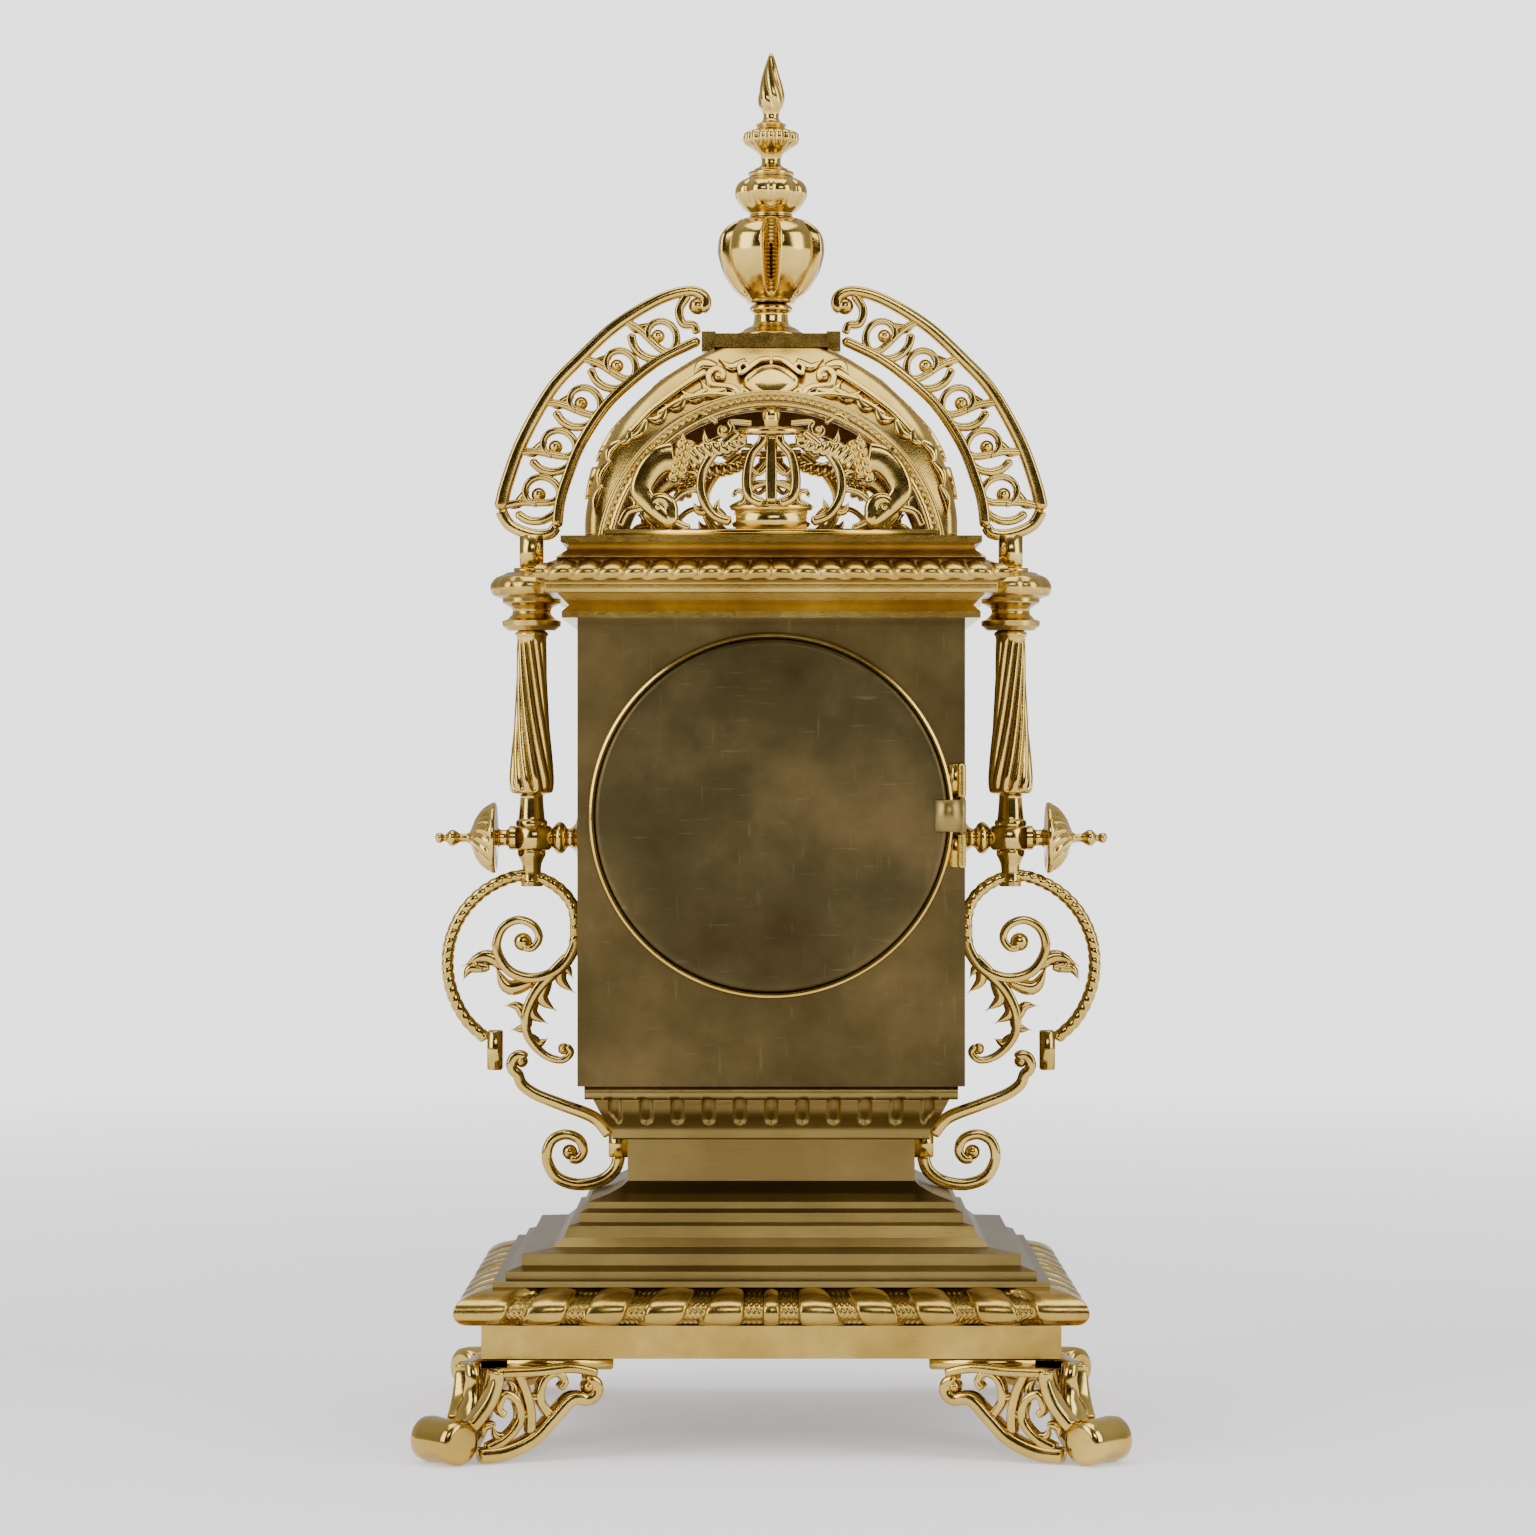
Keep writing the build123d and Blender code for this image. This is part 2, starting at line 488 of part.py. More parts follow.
def lower_scroll():
    """The left lower scroll: a volute and branch down to a block under the collar, then a C-scroll."""
    branch = spiral(-WAIST_HX - 34.7, COLLAR_Z + 21.9, 1.5, 4.2, 20, 230, 6)
    branch += under_collar((30.2, 11.9), (21.9, 8.4), (11.6, 4.3), (6.6, -1.5))
    curl = under_collar((3.6, -7.5), (5.2, -12.7), (10.0, -16.1), (17.4, -17.1), (23.8, -14.7), (26.7, -8.9),
                        (25.4, -3.5), (21.2, -1.3), (16.4, -2.7), (15.0, -6.5))
    half = SCROLL_T / 2
    block = slab(-WAIST_HX - 7.0, -WAIST_HX - SEAT, -half, half, COLLAR_Z - 8.5, COLLAR_Z - SEAT)
    return flat_scroll(branch, 2.2, 3.4) + flat_scroll(curl, 3.2, 2.6) + block


for maker, node in ((crest, "crest"), (column, "column"), (bracket, "pin_bracket"), (rosette, "rosette_pin"),
                    (ring_scroll, "ring_scroll"), (lower_scroll, "lower_scroll")):
    left = maker()
    save(left, node + "_left")
    save(mirrored(left), node + "_right")


# ---- movement ----
CENTRE = (0.0, 0.0)     # arbor places are measured from the dial's centre
TRAIN_STEP = MODULE * (WHEEL_TEETH + PINION_TEETH) / 2
BARREL_STEP = BARREL_MODULE * (BARREL_TEETH + PINION_TEETH) / 2
THIRD_DEG = 30.0
ESCAPE_DEG = 90.0
BARREL_DEG = 205.5
THIRD = (TRAIN_STEP * cos(radians(THIRD_DEG)), TRAIN_STEP * sin(radians(THIRD_DEG)))
ESCAPE = (TRAIN_STEP * cos(radians(ESCAPE_DEG)), TRAIN_STEP * sin(radians(ESCAPE_DEG)))
GOING = (BARREL_STEP * cos(radians(BARREL_DEG)), BARREL_STEP * sin(radians(BARREL_DEG)))
STRIKE = (-GOING[0], GOING[1])
ESCAPE_R = 11.0
ESCAPE_TEETH = 30
ANCHOR_UP = 39.0
HAMMER = (-30.0, -25.0)
ANCHOR = (0.0, ANCHOR_UP)
FRONT_END = FRONT_PLATE_Y + PLATE_T - 0.5
BACK_END = BACK_PLATE_Y - PLATE_T + 0.5
DRUM_R = 16.8
BARREL_ARBOR_R = 1.5
PENDULUM_Y = -13.0
BELL_Y = -22.0
BELL_DEEP = 15.0
FRONT_HINGE_X = BEZEL_R + HINGE_R + 1.0
FRONT_HINGE_Y = CASE_HY + 2.0
HAND_HUB_Y = CASE_HY + 2.6
FOOT_RING_R = 38.0


def arbor(radius, y0, y1, place):
    """A round arbor along Y, at a place measured from the dial's centre."""
    return rod(radius, y0, y1, place[0], AXIS_Z + place[1])


def gear(teeth, module, y0, y1, place, tooth_deg):
    """A toothed wheel with slim teeth; one tooth points along tooth_deg, or a gap half a pitch on."""
    pitch_r = teeth * module / 2
    step = 2 * pi / teeth
    points = []
    for i in range(teeth):
        middle = radians(tooth_deg) + i * step
        for out, share in ((-1.1, -0.22), (0, -0.17), (0.7, -0.08), (0.7, 0.08), (0, 0.17), (-1.1, 0.22)):
            angle = middle + share * step
            radius = pitch_r + out * module
            points.append((radius * cos(angle), radius * sin(angle)))
    blank = extrude(Plane.XZ * make_face(Polyline(*points, close=True)), y1 - y0)
    return Pos(place[0], y1, AXIS_Z + place[1]) * blank


def crossed(wheel, radius, y0, y1, place):
    """Cut four round lightening windows in a wheel."""
    for quarter in range(4):
        angle = radians(45 + 90 * quarter)
        hole = (place[0] + 0.56 * radius * cos(angle), place[1] + 0.56 * radius * sin(angle))
        wheel -= arbor(0.26 * radius, y0 - 1, y1 + 1, hole)
    return wheel


def plates():
    """Front plate with dial feet, back plate, the pillars between them and the two long straps."""
    front = arbor(MOVEMENT_R, FRONT_PLATE_Y, FRONT_PLATE_Y + PLATE_T, CENTRE)
    back = arbor(MOVEMENT_R, BACK_PLATE_Y - PLATE_T, BACK_PLATE_Y, CENTRE)
    for deg in (45, 135, 225, 315):
        spot = (FOOT_RING_R * cos(radians(deg)), FOOT_RING_R * sin(radians(deg)))
        front += arbor(2.5, FRONT_PLATE_Y, CASE_HY, spot)
    for place in (CENTRE, THIRD, ESCAPE, ANCHOR):
        hole = arbor(PIVOT_R + RUN, BACK_PLATE_Y - 5, CASE_HY, place)
        front -= hole
        back -= hole
    for place in (GOING, STRIKE):
        hole = arbor(BARREL_ARBOR_R + RUN, BACK_PLATE_Y - 5, CASE_HY, place)
        front -= hole
        back -= hole
    back -= arbor(PIVOT_R + RUN, BACK_PLATE_Y - 5, CASE_HY, HAMMER)
    posts = []
    for deg in (-12, 60, 120, 192, 270):
        spot = (42.6 * cos(radians(deg)), 42.6 * sin(radians(deg)))
        posts.append(arbor(2.5, BACK_PLATE_Y, FRONT_PLATE_Y, spot))
    strap = slab(MOVEMENT_R + SEAT, MOVEMENT_R + 3, PLATE - CASE_HY, CASE_HY - PLATE, AXIS_Z - 4, AXIS_Z + 4)
    return front, back, Compound(children=posts), Compound(children=[strap, mirrored(strap)])


def barrel(place, y0, y1, tooth_deg):
    """A spring barrel on its arbor, with great wheel teeth and the winding square in front."""
    shape = arbor(DRUM_R, 4.0, 19.0, place) + gear(BARREL_TEETH, BARREL_MODULE, y0, y1, place, tooth_deg)
    shape += arbor(BARREL_ARBOR_R, BACK_END, FRONT_PLATE_Y + PLATE_T + 1, place)
    x, z = place[0], AXIS_Z + place[1]
    return shape + slab(x - 1.2, x + 1.2, FRONT_PLATE_Y + PLATE_T + 1, CASE_HY + 2, z - 1.2, z + 1.2)


def train():
    """Centre, third and escape wheels on their arbors, each with its pinion, in mesh."""
    half_step = 180.0 / PINION_TEETH
    centre = gear(PINION_TEETH, BARREL_MODULE, 14.5, 19.5, CENTRE, BARREL_DEG + half_step)
    wheel = gear(WHEEL_TEETH, MODULE, 26.0, 26.0 + WHEEL_T, CENTRE, THIRD_DEG)
    centre += crossed(wheel, TRAIN_STEP * 0.8, 26.0, 26.0 + WHEEL_T, CENTRE)
    centre += arbor(PIVOT_R, BACK_END, CASE_HY + 4.4, CENTRE)
    third = gear(PINION_TEETH, MODULE, 25.0, 29.0, THIRD, THIRD_DEG + 180 + half_step)
    wheel = gear(WHEEL_TEETH, MODULE, 21.5, 21.5 + WHEEL_T, THIRD, ESCAPE_DEG + 60)
    third += crossed(wheel, TRAIN_STEP * 0.8, 21.5, 21.5 + WHEEL_T, THIRD)
    third += arbor(PIVOT_R, BACK_END, FRONT_END, THIRD)
    escape = gear(PINION_TEETH, MODULE, 20.5, 24.5, ESCAPE, ESCAPE_DEG + 240 + half_step)
    points = []
    for i in range(ESCAPE_TEETH):
        angle = 2 * pi * i / ESCAPE_TEETH
        lean = angle + 1.5 * pi / ESCAPE_TEETH
        points += [(ESCAPE_R * cos(angle), ESCAPE_R * sin(angle)),
                   (0.82 * ESCAPE_R * cos(angle + 0.03), 0.82 * ESCAPE_R * sin(angle + 0.03)),
                   (0.82 * ESCAPE_R * cos(lean), 0.82 * ESCAPE_R * sin(lean))]
    blank = extrude(Plane.XZ * make_face(Polyline(*points, close=True)), WHEEL_T)
    escape += Pos(ESCAPE[0], 8.0 + WHEEL_T, AXIS_Z + ESCAPE[1]) * blank
    return centre, third, escape + arbor(PIVOT_R, BACK_END, FRONT_END, ESCAPE)


CRUTCH_Y = BACK_PLATE_Y - PLATE_T - 3.0
CRUTCH_DROP = 19.0
PENDULUM_ROD_R = 0.8


def anchor():
    """Anchor over the escape wheel, its arbor, and the crutch with a fork round the pendulum rod."""
    arc = arbor(ESCAPE_R + 3.2, 8.0, 8.0 + WHEEL_T, ESCAPE) - arbor(ESCAPE_R + 1.3, 7, 9 + WHEEL_T, ESCAPE)
    arc &= slab(-9.4, 9.4, 7, 9 + WHEEL_T, AXIS_Z + ESCAPE[1] + 7.5, AXIS_Z + ANCHOR_UP)
    shape = arc + arbor(2.6, 8.0, 8.0 + WHEEL_T, ANCHOR) + arbor(PIVOT_R, CRUTCH_Y - 0.6, FRONT_END, ANCHOR)
    top = AXIS_Z + ANCHOR_UP
    shape += slab(-1.6, 1.6, 8.0, 8.0 + WHEEL_T, AXIS_Z + ESCAPE[1] + ESCAPE_R + 2.0, top)
    shape += slab(-1.6, 1.6, CRUTCH_Y - 0.6, CRUTCH_Y + 0.6, top - CRUTCH_DROP, top + 1.6)
    shape += slab(-2.4, 2.4, CRUTCH_Y - 0.6, CRUTCH_Y + 0.6, top - CRUTCH_DROP - 1.2, top - CRUTCH_DROP)
    for x in (-1.8, 1.8):
        shape += rod(0.6, PENDULUM_Y - 2, CRUTCH_Y, x, top - CRUTCH_DROP - 0.6)
    return shape


def pendulum():
    """Pendulum: top hook, rod and lens-shaped bob."""
    top = AXIS_Z + ANCHOR_UP
    bob_z = top - PENDULUM_L
    shape = slab(-2, 2, PENDULUM_Y - 1, PENDULUM_Y + 1, top - 3.4, top - 0.8)
    shape += Pos(0, PENDULUM_Y, (top - 3 + bob_z) / 2) * Cylinder(PENDULUM_ROD_R, top - 3 - bob_z)
    bob = turned(((9.0, -3.0), (13.0, -0.8), (13.0, 0.8), (9.0, 3.0)))
    return shape + Pos(0, PENDULUM_Y, bob_z) * Rot(90, 0, 0) * bob


def pendulum_cock():
    """Cock on the back plate with the thin suspension spring that the pendulum hangs from."""
    top = AXIS_Z + ANCHOR_UP
    rear = BACK_PLATE_Y - PLATE_T
    cock = slab(-4, 4, PENDULUM_Y - 2.5, rear, top + 2.6, top + 5.6)
    screwed = slab(-8, 8, rear - 1.6, rear, top + 2.6, top + 6.4)
    cock += screwed & arbor(MOVEMENT_R, rear - 3, rear + 1, CENTRE)
    return cock + slab(-1.6, 1.6, PENDULUM_Y - 0.1, PENDULUM_Y + 0.1, top - 0.5, top + 2.6)


def striking():
    """Bell, its stand on the back plate, and the hammer beside it."""
    rear = BACK_PLATE_Y - PLATE_T
    deep = BELL_DEEP
    rim = BELL_R
    shell = turned(((rim, 0), (0.9 * rim, 0.3 * deep), (0.72 * rim, 0.75 * deep), (0.4 * rim, 0.96 * deep),
                    (3, deep)))
    inner = turned(((rim - 1.4, -0.1), (0.9 * rim - 1.4, 0.28 * deep), (0.72 * rim - 1.4, 0.69 * deep),
                    (0.4 * rim - 1, 0.88 * deep), (3, 0.91 * deep)))
    bell = Pos(0, BELL_Y, AXIS_Z) * Rot(90, 0, 0) * (shell - inner)
    stand_x, stand_z = 26.0, -30.0
    end = BELL_Y - deep
    stand = arbor(2.0, end - 3.0, rear, (stand_x, stand_z))
    length = (stand_x ** 2 + stand_z ** 2) ** 0.5
    slope = degrees(atan2(-stand_z, stand_x))
    arm = Pos(0, end - 2.0, AXIS_Z) * Rot(0, slope, 0) * Pos(length / 2, 0, 0) * Box(length, 2.0, 4.0)
    stand += arm + arbor(3.0, end - 3.0, end, CENTRE)
    hammer = arbor(PIVOT_R, BELL_Y - 10, BACK_END, HAMMER)
    hx, hz = HAMMER
    hammer += slab(hx - 4.4, hx + 1.2, BELL_Y - 9, BELL_Y - 7, AXIS_Z + hz - 1.2, AXIS_Z + hz + 1.2)
    hammer += slab(hx - 4.4, hx - 2.4, BELL_Y - 9, BELL_Y - 7, AXIS_Z + hz - 1.2, AXIS_Z + hz + 27)
    hammer += arbor(2.6, BELL_Y - 12, BELL_Y - 3, (hx - 3.4, hz + 27))
    return bell, stand, hammer


def dial_side():
    """Dial, hinged bezel with its glass, and the two hands; the case's knuckles are returned too."""
    dial = arbor(DIAL_R, CASE_HY, CASE_HY + 1.2, CENTRE) - arbor(3.0, CASE_HY - 1, CASE_HY + 2, CENTRE)
    for place in (GOING, STRIKE):
        dial -= arbor(3.4, CASE_HY - 1, CASE_HY + 2, place)
    y0 = CASE_HY + 1.2 + SEAT
    y1 = y0 + 6.2
    bezel = arbor(BEZEL_R, CASE_HY + SEAT, y1 - 2.0, CENTRE) + arbor(BEZEL_R - 3.0, y1 - 2.0, y1, CENTRE)
    bezel -= arbor(DIAL_R + SEAT, CASE_HY, y0, CENTRE)
    bezel -= arbor(BEZEL_IN_R, CASE_HY, y1 + 1, CENTRE)
    bezel -= arbor(BEZEL_IN_R + 1.6, y0 + 3.8, y1 + 1, CENTRE)
    glass = arbor(BEZEL_IN_R + 1.5, y0 + 3.8, y0 + 5.0, CENTRE)
    third = HINGE_L / 6
    pin = Pos(FRONT_HINGE_X, FRONT_HINGE_Y, AXIS_Z)
    bezel -= pin * Cylinder(HINGE_R + SEAT, HINGE_L + 1)
    bezel += slab(BEZEL_R - 5, FRONT_HINGE_X, y0 + 0.6, y0 + 1.8,
                  AXIS_Z - third + SEAT, AXIS_Z + third - SEAT)
    bezel += pin * Cylinder(HINGE_R, 2 * (third - SEAT))
    bezel -= pin * Cylinder(HINGE_PIN_R + RUN, HINGE_L)
    lugs = None
    for side in (-1, 1):
        low, high = sorted((side * (third + SEAT), side * 3 * third))
        lug = slab(FRONT_HINGE_X - 1.0, CASE_HX, CASE_HY, FRONT_HINGE_Y, AXIS_Z + low, AXIS_Z + high)
        lug += Pos(FRONT_HINGE_X, FRONT_HINGE_Y, AXIS_Z + (low + high) / 2) * Cylinder(HINGE_R, high - low)
        lugs = lug if lugs is None else lugs + lug
    lugs += pin * Cylinder(HINGE_PIN_R, HINGE_L)
    return dial, bezel, glass, lugs


def hand(length, width, deg, y0, thick, hub_r, bore_r):
    """A flat pointed hand, deg clockwise from twelve as the dial is read."""
    blade = Polyline((-0.7, 0), (-width / 2, 0.62 * length), (0, length), (width / 2, 0.62 * length),
                     (0.7, 0), (1.1, -0.2 * length), (-1.1, -0.2 * length), close=True)
    flat = extrude(Plane.XZ * make_face(blade), thick)
    flat = Pos(0, y0 + thick, AXIS_Z) * Rot(0, -deg, 0) * flat
    return flat + arbor(hub_r, y0, y0 + thick, CENTRE) - arbor(bore_r, y0 - 1, y0 + thick + 1, CENTRE)


front_plate, back_plate, pillars, straps = plates()
save(front_plate, "movement_front_plate")
save(back_plate, "movement_back_plate")
save(pillars, "movement_pillars")
save(straps, "movement_straps")
save(barrel(GOING, 15.5, 18.5, BARREL_DEG + 180), "going_barrel")
save(barrel(STRIKE, 5.0, 8.0, 0.0), "strike_barrel")
for piece, node in zip(train(), ("centre_wheel", "third_wheel", "escape_wheel")):
    save(piece, node)
save(anchor(), "anchor")
save(pendulum(), "pendulum")
save(pendulum_cock(), "pendulum_cock")
for piece, node in zip(striking(), ("bell", "bell_stand", "hammer")):
    save(piece, node)
dial_plate, front_bezel, front_glass, front_lugs = dial_side()
save(case_front + front_lugs, "case_front_plate")
save(dial_plate, "dial")
save(front_bezel, "front_bezel")
save(front_glass, "front_glass")
hour_pipe = arbor(2.2, FRONT_PLATE_Y + PLATE_T + SEAT, HAND_HUB_Y, CENTRE)
hour_pipe -= arbor(PIVOT_R + SEAT, FRONT_PLATE_Y, HAND_HUB_Y + 1, CENTRE)
save(hand(27.0, 4.4, 305.0, HAND_HUB_Y, 0.6, 3.4, PIVOT_R + SEAT) + hour_pipe, "hour_hand")
save(hand(39.0, 3.4, 60.0, HAND_HUB_Y + 1.2, 0.6, 2.6, PIVOT_R), "minute_hand")
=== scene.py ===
from math import atan2, cos, degrees, pi, radians, sin, sqrt
import bmesh
import bpy
import numpy as np
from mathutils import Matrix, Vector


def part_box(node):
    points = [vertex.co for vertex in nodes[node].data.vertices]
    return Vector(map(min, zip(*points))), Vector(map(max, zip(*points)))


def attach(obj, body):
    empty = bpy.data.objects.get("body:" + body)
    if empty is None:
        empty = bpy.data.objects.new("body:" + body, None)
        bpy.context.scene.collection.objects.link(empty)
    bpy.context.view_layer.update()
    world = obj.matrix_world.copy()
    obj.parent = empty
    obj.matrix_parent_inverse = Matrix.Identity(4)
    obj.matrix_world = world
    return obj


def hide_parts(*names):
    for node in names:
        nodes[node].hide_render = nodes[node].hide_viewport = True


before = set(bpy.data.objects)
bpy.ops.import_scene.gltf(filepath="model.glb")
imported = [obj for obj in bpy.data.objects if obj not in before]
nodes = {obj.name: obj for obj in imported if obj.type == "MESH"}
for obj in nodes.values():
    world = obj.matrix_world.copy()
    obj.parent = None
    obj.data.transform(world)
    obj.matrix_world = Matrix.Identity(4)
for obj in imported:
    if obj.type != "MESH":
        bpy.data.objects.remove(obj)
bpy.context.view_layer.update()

MM = 0.001

# ---- Studio ----
# A pale paper sweep under and behind the clock, a camera level with the door's lower half,
# and soft boxes at both sides, overhead and behind the camera. None of it is part of the clock.


class Sock:
    """A node socket that can be used in Python arithmetic; each operation adds a Math node."""

    def __init__(self, tree, out):
        self.tree = tree
        self.out = out

    def math(self, operation, *others):
        node = self.tree.nodes.new("ShaderNodeMath")
        node.operation = operation
        for place, value in zip(node.inputs, (self, *others)):
            if isinstance(value, Sock):
                self.tree.links.new(value.out, place)
            else:
                place.default_value = value
        return Sock(self.tree, node.outputs[0])

    def __add__(self, other):
        return self.math("ADD", other)

    def __sub__(self, other):
        return self.math("SUBTRACT", other)

    def __mul__(self, other):
        return self.math("MULTIPLY", other)

    def __rsub__(self, other):
        return (self * -1.0) + other

    __radd__ = __add__
    __rmul__ = __mul__

    def clamped(self):
        return self.math("MAXIMUM", 0.0).math("MINIMUM", 1.0)


class Finish:
    """One material: a Principled shader, its object coordinates and a method that adds any node."""

    def __init__(self, name):
        self.material = bpy.data.materials.new(name)
        self.material.use_nodes = True
        self.tree = self.material.node_tree
        self.shader = self.tree.nodes["Principled BSDF"]
        self.place = self.node("ShaderNodeTexCoord", out="Object")

    def node(self, kind, settings=None, out=0, **sockets):
        node = self.tree.nodes.new(kind)
        for key, value in (settings or {}).items():
            if key == "stops":
                ramp = node.color_ramp
                while len(ramp.elements) < len(value):
                    ramp.elements.new(0.5)
                for element, (at, colour) in zip(ramp.elements, value):
                    element.position = at
                    element.color = (*colour, 1.0)
            else:
                setattr(node, key, value)
        for key, value in sockets.items():
            name = key.replace("_", " ")
            target = node.inputs[int(name[1:])] if name[1:].isdigit() else node.inputs[name]
            self.feed(target, value)
        return Sock(self.tree, node.outputs[out])

    def feed(self, target, value):
        if isinstance(value, Sock):
            self.tree.links.new(value.out, target)
        else:
            target.default_value = value

    def noise(self, scale, detail=4.0, roughness=0.6, stretch=None):
        place = self.place
        if stretch:
            place = self.node("ShaderNodeMapping", Vector=place, Scale=stretch)
        return self.node("ShaderNodeTexNoise", Vector=place, Scale=scale, Detail=detail,
                         Roughness=roughness)

    def ramp(self, value, *stops):
        return self.node("ShaderNodeValToRGB", {"stops": stops}, Fac=value)

    def blend(self, share, low, high):
        settings = {"data_type": "RGBA"}
        low = low if isinstance(low, Sock) else (*low, 1.0)
        high = high if isinstance(high, Sock) else (*high, 1.0)
        return self.node("ShaderNodeMix", settings, out=2, i0=share, i6=low, i7=high)

    def bump(self, height, strength, distance):
        return self.node("ShaderNodeBump", Height=height, Strength=strength, Distance=distance)

    def shade(self, **sockets):
        for key, value in sockets.items():
            self.feed(self.shader.inputs[key.replace("_", " ")], value)
        return self.material


scene = bpy.context.scene
CAMERA_BACK = 1.357
CAMERA_UP = 0.204
LENS = 99.4
lens = bpy.data.cameras.new("studio_camera")
lens.lens = LENS
lens.sensor_width = 36.0
lens.shift_y = 0.0111
lens.clip_start = 0.05
camera = bpy.data.objects.new("studio_camera", lens)
camera.location = (-0.001, -CAMERA_BACK, CAMERA_UP)
camera.rotation_euler = (pi / 2, 0, 0)
scene.collection.objects.link(camera)
scene.camera = camera

AIR = (0.845, 0.825, 0.86)
AIR_GLOW = 2.9
world = bpy.data.worlds.new("studio_air")
world.use_nodes = True
sky = world.node_tree
sky.nodes.clear()
sky_out = sky.nodes.new("ShaderNodeOutputWorld")
sky_mix = sky.nodes.new("ShaderNodeMixShader")
seen = sky.nodes.new("ShaderNodeBackground")
mirrored_air = sky.nodes.new("ShaderNodeBackground")
ray = sky.nodes.new("ShaderNodeLightPath")
where = sky.nodes.new("ShaderNodeTexCoord")
parts = sky.nodes.new("ShaderNodeSeparateXYZ")
tone = sky.nodes.new("ShaderNodeValToRGB")
seen.inputs[0].default_value = (*AIR, 1.0)
seen.inputs[1].default_value = AIR_GLOW
sky.links.new(where.outputs["Generated"], parts.inputs[0])
shade_side = Sock(sky, parts.outputs[1]) * 0.5 + 0.5
shade_side = shade_side + Sock(sky, parts.outputs[2]) * 0.12
sky.links.new(shade_side.out, tone.inputs[0])
ROOM_TONES = ((0.16, (0.05, 0.038, 0.026)), (0.70, (0.84, 0.83, 0.82)))
for element, (at, grey) in zip(tone.color_ramp.elements, ROOM_TONES):
    element.position = at
    element.color = (*grey, 1.0)
sky.links.new(tone.outputs[0], mirrored_air.inputs[0])
mirrored_air.inputs[1].default_value = 0.72
sky.links.new(ray.outputs["Is Camera Ray"], sky_mix.inputs[0])
sky.links.new(mirrored_air.outputs[0], sky_mix.inputs[1])
sky.links.new(seen.outputs[0], sky_mix.inputs[2])
sky.links.new(sky_mix.outputs[0], sky_out.inputs[0])
scene.world = world


def soft_box(name, place, aim, wide, high, power, colour=(1.0, 0.985, 0.96)):
    """A rectangular studio light that looks at a point."""
    light = bpy.data.lights.new(name, "AREA")
    light.shape = "RECTANGLE"
    light.size = wide
    light.size_y = high
    light.energy = power
    light.color = colour
    lamp = bpy.data.objects.new(name, light)
    lamp.location = place
    gaze = np.array(aim, float) - np.array(place, float)
    flat = sqrt(gaze[0] ** 2 + gaze[1] ** 2)
    lamp.rotation_euler = (atan2(flat, -gaze[2]), 0, atan2(gaze[1], gaze[0]) - pi / 2)
    scene.collection.objects.link(lamp)


soft_box("left_box", (-1.15, -0.75, 0.75), (0, 0, 0.2), 0.7, 1.1, 13.0)
soft_box("right_box", (1.15, -0.65, 0.70), (0, 0, 0.2), 0.6, 1.1, 10.0)
soft_box("top_box", (0, -0.1, 1.5), (0, 0, 0.2), 1.3, 1.0, 15.0)
soft_box("low_front_box", (0.25, -1.7, 1.05), (0, 0, 0.22), 0.9, 0.35, 6.0)

SWEEP = 6.0
sweep_mesh = bpy.data.meshes.new("paper_sweep")
sweep_mesh.from_pydata([(-SWEEP, -SWEEP, 0), (SWEEP, -SWEEP, 0), (SWEEP, SWEEP, 0), (-SWEEP, SWEEP, 0)],
                       [], [(0, 1, 2, 3)])
sweep = bpy.data.objects.new("paper_sweep", sweep_mesh)
scene.collection.objects.link(sweep)
paper = Finish("pale_paper")
fibre = paper.noise(220.0, 3.0)
paper.shade(Base_Color=paper.blend(fibre, (0.84, 0.825, 0.85), (0.87, 0.855, 0.88)), Roughness=0.85,
            Emission_Color=(0.87, 0.85, 0.885, 1.0), Emission_Strength=0.5)
far = paper.node("ShaderNodeVectorMath", {"operation": "LENGTH"}, out="Value", i0=paper.place)
glow = paper.node("ShaderNodeEmission", Color=(*AIR, 1.0), Strength=AIR_GLOW)
fade = ((far - 0.32) * 0.85).clamped()
paper_mix = paper.node("ShaderNodeMixShader", Fac=fade, i1=Sock(paper.tree, paper.shader.outputs[0]),
                       i2=glow)
paper.feed(paper.tree.nodes["Material Output"].inputs[0], paper_mix)
sweep.data.materials.append(paper.material)

# ---- Metals ----
# The castings are mercury-gilt brass; their hollows are painted darker and browner as shade. The
# steps are brushed and lacquered, and the case and its door carry an old dark patina.


def gilt(name, light, deep, rough=0.20, grain=0.25):
    """Cast gilding: warm colour that drifts a little, painted shade in the hollows, fine cast pitting."""
    f = Finish(name)
    drift = f.noise(38.0, 3.0)
    hollows = f.node("ShaderNodeNewGeometry", out="Pointiness")
    colour = f.blend(f.ramp(drift, (0.35, (0, 0, 0)), (0.7, (1, 1, 1))), deep, light)
    # Painted shade: where pointiness is low (hollows) the colour is pulled to dark brown; the same mask
    # also raises roughness.
    hollow_shade_mask = ((0.485 - hollows) * 14.0).clamped()
    colour = f.blend(hollow_shade_mask, colour, (0.16, 0.075, 0.018))
    wear = f.noise(260.0, 5.0)
    pits = f.noise(1400.0, 4.0)
    return f.shade(Base_Color=colour, Metallic=1.0,
                   Roughness=(wear * 0.16 + (rough - 0.06) + hollow_shade_mask * 0.25).clamped(),
                   Normal=f.bump(pits + wear * 0.6, grain, 0.00012))


gilt_cast = gilt("gilt_cast", (0.56, 0.395, 0.105), (0.36, 0.235, 0.05))
gilt_bright = gilt("gilt_bright", (0.68, 0.49, 0.135), (0.47, 0.315, 0.07), 0.13, 0.12)


